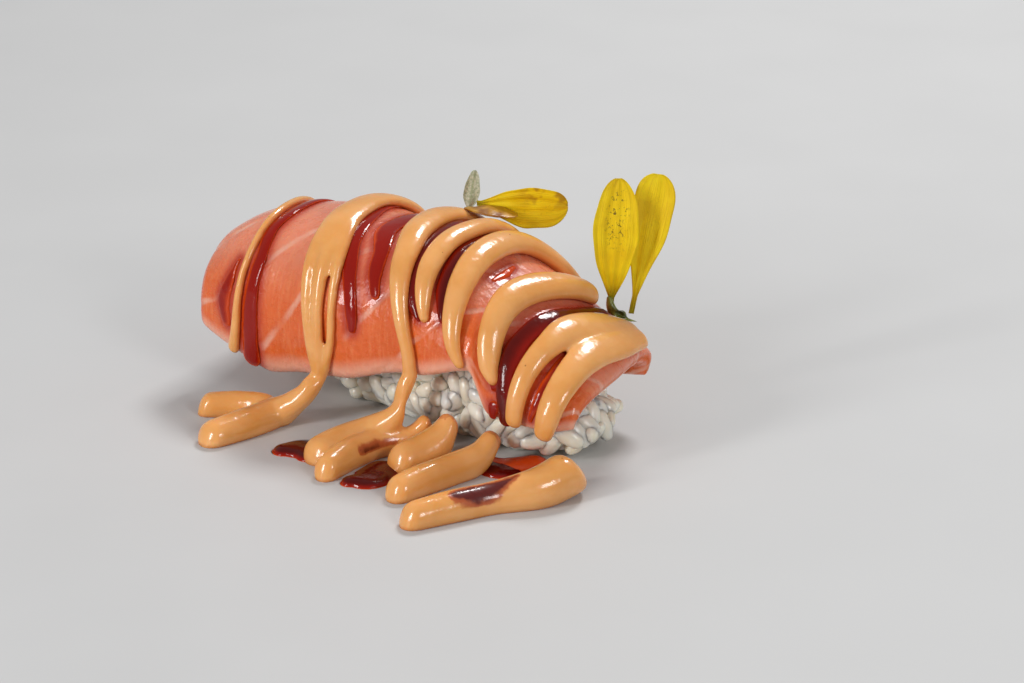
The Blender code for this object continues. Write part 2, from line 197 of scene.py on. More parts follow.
def attribute(tree, name):
    """What a mesh keeps under a name, as a vector and as a number."""
    made = node(tree, "ShaderNodeAttribute", {"attribute_name": name})
    return Value(tree, made.outputs["Vector"]), Value(tree, made.outputs["Fac"])


def finish_material(tree, colour, roughness, constants, bumps=()):
    """Links colour, roughness and a chain of bumps (height, depth in metres) to the Principled shader."""
    shader = tree.nodes["Principled BSDF"]
    tree.links.new(colour.socket, shader.inputs["Base Color"])
    tree.links.new(roughness.socket, shader.inputs["Roughness"])
    for name, value in constants.items():
        shader.inputs[name].default_value = value
    normal = None
    for height, depth in bumps:
        inputs = {"Height": height, "Strength": 1.0, "Distance": depth}
        if normal is not None:
            inputs["Normal"] = normal
        normal = node(tree, "ShaderNodeBump", {}, inputs).outputs[0]
    if normal is not None:
        tree.links.new(normal, shader.inputs["Normal"])


print("node helpers ready")

# %% [markdown]
# ## The skin of the slice
# Sauce, stripes and flesh all follow the top of the salmon, so its surface is worked out once, on a
# fine grid: along the nigiri, and across it from the near hanging edge (-1) to the far one (1). The
# slice is an arch on two hanging walls. Its ridge droops at both ends, and its edges hang at the
# heights below. Lengths are in millimetres until a mesh is made.

# %% The slice's shape
RIDGE_HEIGHT = 31.7
SLICE_HALF_WIDTH = 16.4
SLICE_THICKNESS = 7.6
SLICE_EDGE_THICKNESS = 4.8
BLUNT_END = (-27.0, 0.5)  # where the ridge starts to droop, and how steeply
SLOPING_END = (9.0, 0.56)
DROOP_SOFTNESS = 4.0
ARCH_POWER = 2.35
ARCH_REACH = 0.95  # how far down the arch comes, in half widths
WALL_TUCK = 1.8
END_NARROWING = 1.8  # how much narrower the slice is 40 mm from its middle
STATION_STEP = 0.5
ACROSS_STEPS = 160
HALF_ARC = 33.0  # from the ridge to an edge, along the skin
NEAR_EDGE = (
    (-43, 11), (-34, 7.6), (-25, 4.6), (-16, 6.6), (-9, 8), (5.5, 12), (17.5, 15.6), (21, 8.8),
    (32, 8.6), (38, 10),
)
FAR_EDGE = ((-46, 12), (-32, 8.5), (-18, 6.5), (-2, 8.5), (12, 8), (24, 7.6), (33, 9), (39, 11))


def smooth_value(stations, at):
    """The height at a place between stations (place, height), on a curve without corners."""
    places, heights = np.array(stations, float).T
    at = np.clip(at, places[0], places[-1])
    i = np.clip(np.searchsorted(places, at, side="right") - 1, 0, len(places) - 2)
    share = (at - places[i]) / (places[i + 1] - places[i])
    ease = share * share * (3 - 2 * share)
    return heights[i] + (heights[i + 1] - heights[i]) * (0.6 * ease + 0.4 * share)


def droop(distance, slope):
    """How far the ridge has come down at a distance past the point where it starts to."""
    return slope * DROOP_SOFTNESS * np.log1p(np.exp(distance / DROOP_SOFTNESS))


def ridge_height(x):
    return RIDGE_HEIGHT - droop(BLUNT_END[0] - x, BLUNT_END[1]) - droop(x - SLOPING_END[0], SLOPING_END[1])


def slice_ends(across):
    """Where the slice starts and stops along x. Both cuts are slanted, and the right one is bowed."""
    return -42.4 - 1.8 * across, 36.8 - 2.2 * across - 2.6 * across**2


def wall(x, stations, reach):
    """(y, z) at shares of the way from the ridge down one side, at one x."""
    edge, top = smooth_value(stations, x), ridge_height(x)
    width = SLICE_HALF_WIDTH - END_NARROWING * abs(x / 40) ** 3
    shoulder = max(top - ARCH_REACH * width, edge + 1.0)
    angle = np.linspace(0, math.pi / 2, 28)
    y = width * np.sin(angle) ** (2 / ARCH_POWER)
    z = shoulder + (top - shoulder) * np.cos(angle) ** (2 / ARCH_POWER)
    fall = np.linspace(0, 1, 8)[1:]
    y = np.concatenate([y, width - WALL_TUCK * (fall * (shoulder - edge) / shoulder) ** 2 * 2])
    z = np.concatenate([z, shoulder - fall * (shoulder - edge)])
    run = np.concatenate([[0], np.cumsum(np.hypot(np.diff(y), np.diff(z)))])
    return np.interp(reach * run[-1], run, y), np.interp(reach * run[-1], run, z)


STATION_X = np.arange(-48, 42.01, STATION_STEP)
STATION_ACROSS = np.linspace(-1, 1, ACROSS_STEPS + 1)
skin_grid = np.zeros((len(STATION_X), len(STATION_ACROSS), 3))
near_half = STATION_ACROSS < 0
for i, x in enumerate(STATION_X):
    near_y, near_z = wall(x, NEAR_EDGE, -STATION_ACROSS[near_half])
    far_y, far_z = wall(x, FAR_EDGE, STATION_ACROSS[~near_half])
    skin_grid[i, :, 0] = x
    skin_grid[i, :, 1] = np.concatenate([-near_y, far_y])
    skin_grid[i, :, 2] = np.concatenate([near_z, far_z])
normal_grid = np.cross(np.gradient(skin_grid, axis=0), np.gradient(skin_grid, axis=1))
normal_grid /= np.linalg.norm(normal_grid, axis=-1, keepdims=True)
grid_x, grid_across = np.meshgrid(STATION_X, STATION_ACROSS, indexing="ij")
# The whole skin swells and sinks a little, in two long crossing waves.
swell = 0.35 * np.sin(0.31 * grid_x + 2.0 * grid_across)
swell += 0.25 * np.sin(0.17 * grid_x - 3.1 * grid_across + 1.0)
skin_grid += normal_grid * swell[..., None]


def skin(x, across):
    """(points, outward normals) of the slice's top skin."""
    x, across = np.broadcast_arrays(np.asarray(x, float), np.asarray(across, float))
    u = np.clip((x - STATION_X[0]) / STATION_STEP, 0, len(STATION_X) - 1.001)
    v = np.clip((across + 1) * ACROSS_STEPS / 2, 0, ACROSS_STEPS + 1 - 1.001)
    i, j = u.astype(int), v.astype(int)
    fu, fv = (u - i)[..., None], (v - j)[..., None]

    def between(grid):
        first = grid[i, j] * (1 - fu) + grid[i + 1, j] * fu
        second = grid[i, j + 1] * (1 - fu) + grid[i + 1, j + 1] * fu
        return first * (1 - fv) + second * fv

    normal = between(normal_grid)
    return between(skin_grid), normal / np.linalg.norm(normal, axis=-1, keepdims=True)


print("skin sampled at", skin_grid.shape[0] * skin_grid.shape[1], "points")

# %% [markdown]
# ## Meshes from grids
# Flesh, petals and leaf are all sheets with two faces, so one helper closes two grids into a shell.
# Another wraps any arrays as an object, and keeps extra values on its points for the material.
# The last one places every finished piece in the frame.

# %% Mesh helpers


def new_object(name, points, faces, values=None):
    """An object from points in millimetres. values holds float or vector arrays, one row for each point."""
    mesh = bpy.data.meshes.new(name)
    mesh.from_pydata((np.asarray(points, float) * MM).tolist(), [], faces)
    for key, array in (values or {}).items():
        kind = "FLOAT_VECTOR" if np.ndim(array) == 2 else "FLOAT"
        made = mesh.attributes.new(key, kind, "POINT")
        made.data.foreach_set("vector" if kind == "FLOAT_VECTOR" else "value", np.ravel(array))
    mesh.shade_smooth()
    made = bpy.data.objects.new(name, mesh)
    bpy.context.scene.collection.objects.link(made)
    return made


def shell_faces(rows, columns):
    """Faces of a closed shell: a top grid, then a bottom grid, joined around their outline."""
    count = rows * columns
    faces = []
    for row in range(rows - 1):
        for column in range(columns - 1):
            a = row * columns + column
            quad = (a, a + 1, a + columns + 1, a + columns)
            faces.append(quad)
            faces.append(tuple(k + count for k in reversed(quad)))
    rim = list(range(columns))
    rim += [row * columns + columns - 1 for row in range(1, rows)]
    rim += [(rows - 1) * columns + k for k in range(columns - 2, -1, -1)]
    rim += [row * columns for row in range(rows - 2, 0, -1)]
    for a, b in zip(rim, rim[1:] + rim[:1]):
        faces.append((b, a, a + count, b + count))
    return faces


def points_outwards(mesh):
    """Whether a closed mesh has its faces pointing out: its volume is then positive."""
    work = bmesh.new()
    work.from_mesh(mesh)
    volume = work.calc_volume(signed=True)
    work.free()
    return volume > 0


def mesh_points(piece):
    """A mesh's points in millimetres."""
    spots = np.zeros(len(piece.data.vertices) * 3)
    piece.data.vertices.foreach_get("co", spots)
    return spots.reshape(-1, 3) / MM


def move_points(piece, spots):
    piece.data.vertices.foreach_set("co", np.ravel(spots * MM))


def store_values(piece, name, values):
    """Keeps one number for each point of a piece, for its material."""
    made = piece.data.attributes.new(name, "FLOAT", "POINT")
    made.data.foreach_set("value", values)


def place_piece(piece, slot, replaced=None):
    """Puts a piece on the root body, and hides the solid that it stands for. slot is not used."""
    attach(piece, "root")
    if replaced:
        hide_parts(replaced)


def smooth_path(points, spacing):
    """A Catmull-Rom curve through points of any dimension, resampled by its first three coordinates."""
    p = np.array(points, float)
    p = np.vstack([2 * p[0] - p[1], p, 2 * p[-1] - p[-2]])
    share = np.linspace(0, 1, 12, endpoint=False)[:, None]
    fine = []
    for a, b, c, d in zip(p, p[1:], p[2:], p[3:]):
        square = (2 * a - 5 * b + 4 * c - d) * share**2
        cube = (3 * b - a - 3 * c + d) * share**3
        fine.append(0.5 * (2 * b + (c - a) * share + square + cube))
    fine = np.vstack([*fine, p[-2]])
    run = np.concatenate([[0], np.cumsum(np.linalg.norm(np.diff(fine[:, :3], axis=0), axis=1))])
    at = np.linspace(0, run[-1], max(4, round(run[-1] / spacing)))
    return np.stack([np.interp(at, run, column) for column in fine.T], axis=1)


print("mesh helpers ready")

# %% [markdown]
# ## Stripes of dark sauce: where they run
# The dark sauce was drawn across the nigiri before the creamy one settled, so it lies in the grooves
# between the ribbons and runs down the salmon. Its paths come before the salmon, because wet fish
# next to the sauce is stained by it. A path is a list of (x, across), with a width at each point.

# %% Paths of the dark sauce
STRIPES = {
    "first": (
        ((-29.6, 0.36), (-29.4, 0.16), (-28.3, -0.1), (-28.3, -0.26), (-27.2, -0.4), (-27.3, -0.52),
         (-27.6, -0.7), (-27.8, -0.82), (-28.0, -0.94)),
        (2.6, 3.4, 3.3, 3.0, 2.6, 3.0, 3.4, 3.6, 3.8),
        0.3,
    ),
    "first_side": (
        ((-31.4, -0.46), (-32.5, -0.58), (-33.5, -0.7), (-32.9, -0.82)),
        (0.8, 2.4, 3.2, 2.0),
        0.2,
    ),
    "second": (
        ((-15.8, 0.44), (-15.0, 0.1), (-12.4, -0.14), (-10.8, -0.26), (-8.6, -0.4), (-6.8, -0.53),
         (-5.8, -0.64), (-5.4, -0.72)),
        (2.2, 3.9, 3.9, 3.4, 2.9, 2.6, 2.4, 1.7),
        0.34,
    ),
    "second_side": (
        ((-8.6, 0.34), (-8.0, 0.06), (-7.4, -0.12), (-5.8, -0.22), (-4.5, -0.3), (-3.8, -0.38),
         (-3.0, -0.46), (-2.0, -0.54)),
        (2.6, 3.6, 3.8, 3.6, 3.2, 3.0, 2.7, 1.9),
        0.32,
    ),
    "third": (
        ((0.4, 0.42), (1.0, 0.14), (2.2, -0.06), (3.0, -0.24), (3.6, -0.36), (4.4, -0.48), (5.4, -0.56),
         (7.4, -0.65)),
        (2.4, 3.2, 3.4, 3.4, 3.4, 3.2, 2.7, 0.9),
        0.6,
    ),
    "fourth": (
        ((8.6, 0.4), (7.8, 0.2), (8.0, 0.06), (8.2, -0.12), (8.9, -0.32), (10.0, -0.48), (11.5, -0.65)),
        (2.0, 3.0, 3.4, 3.4, 3.2, 2.8, 1.0),
        0.7,
    ),
    "fifth": (((14.4, 0.04), (14.8, -0.08), (14.6, -0.2)), (1.2, 1.8, 1.1), 0.06),
    "sixth": (
        ((26.8, 0.36), (26.4, 0.1), (25.5, -0.08), (24.7, -0.26), (24.2, -0.42), (24.0, -0.56),
         (24.1, -0.7), (24.6, -0.84), (25.0, -0.97)),
        (2.0, 3.0, 3.6, 3.8, 3.7, 3.5, 3.2, 3.0, 2.5),
        0.65,
    ),
    "drop": (((20.6, -0.6), (21.4, -0.68), (22.4, -0.79)), (1.2, 2.3, 1.5), 0.35),
    "edge_drop": (((22.5, -0.91), (22.4, -0.97)), (2.1, 1.5), 0.4),
    "slot": (
        ((30.7, -0.3), (31.0, -0.5), (30.9, -0.63), (30.4, -0.78), (29.6, -0.92)),
        (1.2, 2.4, 2.2, 1.8, 0.9),
        0.2,
    ),
    "petal_foot": (((26.6, 0.36), (28.2, 0.48), (30.2, 0.52)), (2.4, 4.0, 2.8), 0.5),
}


def path_samples():
    """Points (x, distance across in mm, half width) along every stripe."""
    rows = []
    for path, widths, _ in STRIPES.values():
        stations = [(x, across * HALF_ARC, 0, width / 2) for (x, across), width in zip(path, widths)]
        rows.append(smooth_path(stations, 0.8)[:, (0, 1, 3)])
    return np.vstack(rows)


stripe_samples = path_samples()
print("stripes:", len(STRIPES), "sampled at", len(stripe_samples), "points")

# %% [markdown]
# ## The salmon
# The flesh is a slab with a blunt, knife-cut rim. A box or a subdivided plane would need many bends;
# a grid over the skin, with a second grid under it, follows the drape exactly. Points crowd at the
# rim, where the surface turns over. The seams of fat between the muscle's layers are a little lower
# than the flesh, and the whole top is gently uneven, as cut fish is.

# %% Salmon slab
SEAM_SPACING = 15.0
SEAM_START = 4.0
SEAM_LEAN = 1.05
SEAM_DEPTH = 0.12
UNEVENNESS = 0.1
SIDE_RIM = 2.4
END_RIM = 3.0
RIM_POWER = 2.8
THIN_END = (16.0, 20.0, 0.42)  # where the sloping end starts to thin, over what length, by what share
STAIN_REACH = 1.3


def crowded(length, steps, rim):
    """Places along a length, even in the middle and crowded within a rim's width of both ends."""
    near_rim = rim * (1 - np.cos(np.linspace(0, math.pi / 2, 8)))
    middle = np.linspace(rim, length - rim, steps + 1)
    return np.concatenate([near_rim[:-1], middle, (length - near_rim[:-1])[::-1]])


def rim_share(distance, radius):
    """The share of its full thickness that the slab has at a distance from a cut edge."""
    share = np.minimum(distance / radius, 1.0)
    return (1 - (1 - share) ** RIM_POWER) ** (1 / RIM_POWER)


def ripples(x, reach, seed):
    """A gentle random unevenness, about -1 to 1, from a few crossing waves."""
    random = np.random.default_rng(seed)
    total = np.zeros(np.broadcast(x, reach).shape)
    for _ in range(9):
        length = random.uniform(3.5, 11.0)
        heading, shift = random.uniform(0, math.pi), random.uniform(0, 2 * math.pi)
        wave = (x * math.cos(heading) + reach * math.sin(heading)) * 2 * math.pi / length
        total += np.sin(wave + shift) * length / 30
    return total / 1.6


def seam_place(x, reach):
    """How many seams of fat lie between a place and the first one: a whole number is on a seam."""
    return (x + SEAM_LEAN * np.sqrt(reach**2 + 9) - SEAM_START) / SEAM_SPACING


def make_salmon():
    acrosses = crowded(2 * HALF_ARC, 138, SIDE_RIM) / HALF_ARC - 1
    top, bottom, flesh, edges = [], [], [], []
    for across in acrosses:
        start, stop = slice_ends(across)
        run = crowded(stop - start, 168, END_RIM)
        x = start + run
        point, normal = skin(x, across)
        thick = SLICE_THICKNESS - (SLICE_THICKNESS - SLICE_EDGE_THICKNESS) * abs(across) ** 1.4
        thick = thick * (1 - THIN_END[2] * np.clip((x - THIN_END[0]) / THIN_END[1], 0, 1) ** 1.5)
        from_side = (1 - abs(across)) * HALF_ARC
        from_end = np.minimum(run, stop - start - run)
        rim = rim_share(from_end, END_RIM) * rim_share(from_side, SIDE_RIM)
        reach = across * HALF_ARC
        place = seam_place(x, reach)
        seam = np.exp(-(((place - np.round(place)) * SEAM_SPACING / 0.8) ** 2))
        relief = UNEVENNESS * (ripples(x, reach, 5) - 1.4) - SEAM_DEPTH * seam
        relief = relief * np.clip(rim * 1.5 - 0.5, 0, 1)
        middle = point - normal * (thick / 2)[:, None]
        half = (thick / 2 * rim)[:, None]
        top.append(middle + normal * (half + relief[:, None]))
        bottom.append(middle - normal * half)
        flesh.append(np.stack([x, np.full_like(x, reach), np.zeros_like(x)], axis=1))
        edges.append(np.clip(1 - np.minimum(from_end, from_side) / 4.0, 0, 1))
    flesh, edges = np.vstack(flesh), np.concatenate(edges)
    away = flesh[:, None, :2] - stripe_samples[None, :, :2]
    gap = np.hypot(away[..., 0], away[..., 1]) - stripe_samples[None, :, 2]
    stain = np.exp(-np.clip(gap.min(axis=1), 0, None) / STAIN_REACH)
    under = flesh + (0, 0, 1)  # so that the underside isn't a copy of the top
    values = {
        "flesh": np.vstack([flesh, under]),
        "edge": np.concatenate([edges, edges]),
        "stain": np.concatenate([stain, 0 * stain]),
    }
    faces = shell_faces(len(acrosses), len(flesh) // len(acrosses))
    return new_object("salmon", np.vstack([*top, *bottom]), faces, values)


salmon = make_salmon()
print("salmon:", len(salmon.data.polygons), "faces, outwards:", points_outwards(salmon.data))

# %% [markdown]
# ## The look of the salmon
# Raw salmon is wet, glossy and lets light in. Its colour changes over the slice: lighter and pinker on
# top, partly its own tone and partly a painted sheen of the lamp behind, deeper orange down the walls,
# pale along the lower edge where the fatty part is, and redder where dark sauce has soaked in. The rim
# of the blunt end is painted deep red, as light shining through the thin flesh makes it. Pale seams of
# fat lean across it, and fine fibres run down the walls. The colours are worked out from the place on
# the skin, kept on the mesh, so that they follow the drape.

# %% Salmon material


def salmon_material():
    made, tree, place = new_material("salmon_flesh")
    flesh, _ = attribute(tree, "flesh")
    _, edge = attribute(tree, "edge")
    _, stain = attribute(tree, "stain")
    along, reach = flesh.part(0), flesh.part(1)
    broad = flesh.noise(0.09, 3.0)
    cloudy = flesh.noise(0.35, 3.0, 0.6)
    fibre = flesh.scaled(1.0, 0.13, 1.0).noise(1.6, 3.0, 0.65)

    bent = (reach * reach + 9).math("SQRT", reach * reach + 9)
    seams = (along + bent * SEAM_LEAN - SEAM_START + broad * 5 - 2.5) / SEAM_SPACING
    off_seam = abs(seams - seams.math("ROUND", seams)) * SEAM_SPACING
    wavering = flesh.noise(0.16, 1.0)
    seam = off_seam.fade(1.3, 0.25) * wavering.fade(0.3, 0.58)

    # The top is lighter and pinker than the walls: partly the flesh's own tone, partly painted sheen of the
    # lamp behind.
    top = abs(reach + 1.5).fade(21, 9)
    wall_colour = blend(cloudy, (0.64, 0.085, 0.008), (0.76, 0.15, 0.024))
    top_colour_with_sheen = blend(cloudy, (0.7, 0.17, 0.08), (0.8, 0.3, 0.19))
    colour = blend(top, wall_colour, top_colour_with_sheen)
    colour = blend(fibre.fade(0.42, 0.75) * 0.4, colour, (0.82, 0.27, 0.1))
    colour = blend(seam * 0.62, colour, (0.82, 0.46, 0.34))
    colour = blend(reach.fade(-28.5, -31.5) * 0.75, colour, (0.82, 0.44, 0.32))
    # Painted: the blunt end's rim is deep red, as light shining through the thin flesh makes it.
    colour = blend(edge.fade(0.45, 1.0) * along.fade(-34, -39), colour, (0.6, 0.07, 0.02))
    colour = blend(stain.fade(0.12, 0.95) * 0.8, colour, (0.42, 0.018, 0.006))
    roughness = 0.2 + cloudy * 0.16
    constants = {
        "Subsurface Weight": 0.3,
        "Subsurface Radius": (1.0, 0.32, 0.16),
        "Subsurface Scale": 0.0022,
        "Specular IOR Level": 0.4,
        "Coat Weight": 0.35,
        "Coat Roughness": 0.06,
        "IOR": 1.4,
    }
    bumps = [(fibre, 0.0001), (place.noise(2600, 2.0, 0.6), 0.00005), (place.noise(700, 1.0), 0.0002)]
    finish_material(tree, colour, roughness, constants, bumps)
    return made


salmon.data.materials.append(salmon_material())
place_piece(salmon, "salmon", "salmon_slice")
print("salmon has its look")

# %% [markdown]
# ## A bead of sauce, as a Geometry Nodes tree
# Thick sauce poured in a line makes a bead: an oval section that follows its path, ends round and
# runs together with its neighbours. The tree below makes one from a line of points. Each point says
# which way is up there, and how wide and high the bead is. A curve's own tilt isn't enough for that,
# because a bead has to stay flat on a curved slice, so the section is squashed along the point's up.
# A second tree rounds off the joined beads, after a Remesh modifier has welded them.

# %% Bead and melt trees


def new_tree(name, inputs):
    """A Geometry Nodes tree with a geometry input and output, and named inputs (name, kind, value)."""
    tree = bpy.data.node_groups.new(name, "GeometryNodeTree")
    tree.interface.new_socket("Geometry", in_out="INPUT", socket_type="NodeSocketGeometry")
    for label, kind, value in inputs:
        made = tree.interface.new_socket(label, in_out="INPUT", socket_type=kind)
        if value is not None:
            made.default_value = value
    tree.interface.new_socket("Geometry", in_out="OUTPUT", socket_type="NodeSocketGeometry")
    start = node(tree, "NodeGroupInput")
    end = node(tree, "NodeGroupOutput")
    return tree, start, end


def named(tree, name, kind):
    return node(tree, "GeometryNodeInputNamedAttribute", {"data_type": kind}, {"Name": name}).outputs[0]


def vector_math(tree, operation, first, second=None, scale=None):
    inputs = {0: first}
    if second is not None:
        inputs[1] = second
    if scale is not None:
        inputs["Scale"] = scale
    return node(tree, "ShaderNodeVectorMath", {"operation": operation}, inputs)


def bead_tree():
    tree, start, end = new_tree("bead", [("Sides", "NodeSocketInt", 24)])
    line = node(tree, "GeometryNodeMeshToCurve", {}, {"Mesh": start.outputs["Geometry"]})
    up = named(tree, "up", "FLOAT_VECTOR")
    wide = named(tree, "half_width", "FLOAT")
    high = named(tree, "half_height", "FLOAT")
    inputs = {"Curve": line.outputs[0], "Normal": up}
    turned = node(tree, "GeometryNodeSetCurveNormal", {"mode": "FREE"}, inputs)
    spot = node(tree, "GeometryNodeInputPosition")
    settings = {"data_type": "FLOAT_VECTOR", "domain": "POINT"}
    inputs = {"Geometry": turned.outputs[0], "Name": "core", "Value": spot.outputs[0]}
    kept = node(tree, "GeometryNodeStoreNamedAttribute", settings, inputs)
    inputs = {"Resolution": start.outputs["Sides"], "Radius": 1.0}
    ring = node(tree, "GeometryNodeCurvePrimitiveCircle", {}, inputs)
    inputs = {"Curve": kept.outputs[0], "Profile Curve": ring.outputs[0], "Scale": wide, "Fill Caps": True}
    tube = node(tree, "GeometryNodeCurveToMesh", {}, inputs)
    core = named(tree, "core", "FLOAT_VECTOR")
    out = vector_math(tree, "SUBTRACT", spot.outputs[0], core).outputs[0]
    rise = vector_math(tree, "DOT_PRODUCT", out, up).outputs["Value"]
    ratio = node(tree, "ShaderNodeMath", {"operation": "DIVIDE"}, {0: high, 1: wide}).outputs[0]
    less = node(tree, "ShaderNodeMath", {"operation": "SUBTRACT"}, {0: ratio, 1: 1.0}).outputs[0]
    change = node(tree, "ShaderNodeMath", {"operation": "MULTIPLY"}, {0: rise, 1: less}).outputs[0]
    shift = vector_math(tree, "SCALE", up, scale=change).outputs[0]
    moved = node(tree, "GeometryNodeSetPosition", {}, {"Geometry": tube.outputs[0], "Offset": shift})
    whole = node(tree, "GeometryNodeRealizeInstances", {}, {"Geometry": moved.outputs[0]})
    tree.links.new(whole.outputs[0], end.inputs[0])
    return tree


def melt_tree():
    inputs = [("Passes", "NodeSocketInt", 8), ("Material", "NodeSocketMaterial", None)]
    tree, start, end = new_tree("melt", inputs)
    spot = node(tree, "GeometryNodeInputPosition")
    inputs = {"Value": spot.outputs[0], "Iterations": start.outputs["Passes"], "Weight": 0.7}
    soft = node(tree, "GeometryNodeBlurAttribute", {"data_type": "FLOAT_VECTOR"}, inputs)
    geometry = start.outputs["Geometry"]
    moved = node(tree, "GeometryNodeSetPosition", {}, {"Geometry": geometry, "Position": soft.outputs[0]})
    smooth = node(tree, "GeometryNodeSetShadeSmooth", {}, {"Geometry": moved.outputs[0]})
    whole = node(tree, "GeometryNodeRealizeInstances", {}, {"Geometry": smooth.outputs[0]})
    inputs = {"Geometry": whole.outputs[0], "Material": start.outputs["Material"]}
    painted = node(tree, "GeometryNodeSetMaterial", {}, inputs)
    tree.links.new(painted.outputs[0], end.inputs[0])
    return tree


BEAD = bead_tree()
MELT = melt_tree()


def add_tree(piece, tree, **values):
    """A Geometry Nodes modifier, with its inputs set by their identifiers."""
    made = piece.modifiers.new(tree.name, "NODES")
    made.node_group = tree
    for item in tree.interface.items_tree:
        if item.name in values:
            made[item.identifier] = values[item.name]
    return made


def settle(piece):
    """Turns a piece and its modifiers into a plain mesh."""
    graph = bpy.context.evaluated_depsgraph_get()
    mesh = bpy.data.meshes.new_from_object(piece.evaluated_get(graph))
    piece.modifiers.clear()
    old = piece.data
    piece.data = mesh
    bpy.data.meshes.remove(old)
    mesh.name = piece.name


print("trees:", BEAD.name, MELT.name)

# %% [markdown]
# ## Strands
# A strand over the slice is a path on the skin; where sauce has left the slice, it is a path
# through the air and over the table. Rows hold a point, its up, half a width and half a height. A bead
# sinks a little into what it lies on, as wet sauce does, and ends in a round drop.

# %% Strand helpers
SINK = 0.45
STRAND_STEP = 0.5
STEEPEST = 0.62  # a bead on the slice stands no higher than this share of its width
AIRBORNE, LYING = 3.6, 2.6  # above the first height of its middle a bead hangs, below the second it lies
DROP_LENGTH = 2.6
DROP_ANGLES = np.radians([20, 40, 57, 70, 80, 87])


def on_slice(path, widths, rise, sink=SINK):
    """Rows of a bead on the slice. rise is how far it stands above the skin, or less where it is narrow."""
    stations = [(x, across * HALF_ARC, 0, width) for (x, across), width in zip(path, widths)]
    x, reach, _, width = smooth_path(stations, STRAND_STEP).T
    point, normal = skin(x, reach / HALF_ARC)
    top = np.minimum(rise, STEEPEST * width)
    centre = point + normal * ((top - sink) / 2)[:, None]
    return np.column_stack([centre, normal, width / 2, (top + sink) / 2])


def on_table(points, widths):
    """Rows of a bead that falls, then lies on the table. A point's z is half the sauce's depth there."""
    rows = []
    for (x, y, z), width in zip(points, widths):
        lying = min(max((AIRBORNE - z) / (AIRBORNE - LYING), 0.0), 1.0)
        half_height = min(z * (1 + 0.3 * lying), 0.52 * width * (1 + 0.25 * lying))
        up = (0, 0, 1) if lying else (0, -0.35, 0.94)
        rows.append((x, y, z * (1 - 0.3 * lying), *up, width / 2, half_height))
    return np.array(rows)


def with_drops(rows):
    """Round ends: smaller rings past both ends of a strand, which keep its underside level."""

    def drop(end, beside):
        ahead = end[:3] - beside[:3]
        ahead /= np.linalg.norm(ahead)
        rings = []
        for angle in DROP_ANGLES:
            ring = end.copy()
            ring[:3] += ahead * min(end[6], DROP_LENGTH) * math.sin(angle)
            ring[:3] -= end[3:6] * end[7] * (1 - math.cos(angle)) * 0.8
            ring[6:] *= math.cos(angle)
            rings.append(ring)
        return rings

    return np.vstack([drop(rows[0], rows[2])[::-1], rows, drop(rows[-1], rows[-3])])


def strand(*stretches):
    """One strand from its stretches, on a smooth path."""
    rows = smooth_path(np.vstack(stretches), STRAND_STEP)
    rows[:, 3:6] /= np.linalg.norm(rows[:, 3:6], axis=1)[:, None]
    return with_drops(rows)


def beads(name, strands, voxel, passes, material, floor=None):
    """One piece from strands: beads along them, welded, then softened."""
    points = np.vstack(strands)
    mesh = bpy.data.meshes.new(name)
    edges, first = [], 0
    for rows in strands:
        edges += [(k, k + 1) for k in range(first, first + len(rows) - 1)]
        first += len(rows)
    mesh.from_pydata((points[:, :3] * MM).tolist(), edges, [])
    for key, kind, array in (
        ("up", "FLOAT_VECTOR", points[:, 3:6]),
        ("half_width", "FLOAT", points[:, 6] * MM),
        ("half_height", "FLOAT", points[:, 7] * MM),
    ):
        made = mesh.attributes.new(key, kind, "POINT")
        made.data.foreach_set("vector" if kind == "FLOAT_VECTOR" else "value", np.ravel(array))
    piece = bpy.data.objects.new(name, mesh)
    bpy.context.scene.collection.objects.link(piece)
    add_tree(piece, BEAD)
    weld = piece.modifiers.new("weld", "REMESH")
    weld.mode = "VOXEL"
    weld.voxel_size = voxel * MM
    add_tree(piece, MELT, Passes=passes, Material=material)
    settle(piece)
    if floor is not None:
        spots = mesh_points(piece)
        spots[:, 2] = np.maximum(spots[:, 2], floor)
        move_points(piece, spots)
    return piece


print("strands are made every", STRAND_STEP, "mm")

# %% [markdown]
# ## How deep the sauce is
# Where sauce is thin, what lies under it shows through, so both sauces change colour with their
# depth. On the table the creamy sauce's depth is its height above the table, so its runs get painted
# shade along their lower flanks. Each sauce mesh stores it: the distance from each of its points down
# to the skin of the slice, or to the table.

# %% Depth of a sauce
rows, columns = skin_grid.shape[:2]
skin_faces = [
    (row * columns + k, (row + 1) * columns + k, (row + 1) * columns + k + 1, row * columns + k + 1)
    for row in range(rows - 1)
    for k in range(columns - 1)
]
skin_tree = BVHTree.FromPolygons(skin_grid.reshape(-1, 3).tolist(), skin_faces)


def store_depth(piece):
    """Keeps each point's depth on the mesh, and gives back the greatest."""
    depths = []
    for spot in mesh_points(piece):
        near, outwards, _, distance = skin_tree.find_nearest(Vector(spot))
        above_skin = (Vector(spot) - near).dot(outwards) > 0
        depths.append(min(distance if above_skin else 0.0, max(spot[2], 0.0)))
    store_values(piece, "depth", depths)
    return max(depths)


print("skin for measuring:", len(skin_faces), "faces")

# %% [markdown]
# ## The dark sauce
# The thin, sweet, dark sauce lies as glossy films: in the grooves between the ribbons, down the
# salmon and in small puddles on the table. Where it is thin it is a clear orange-red, and where it is
# deep it is nearly black. All of it is made from the same beads as the ribbons, only much flatter,
# and welded into one piece.

# %% Dark sauce


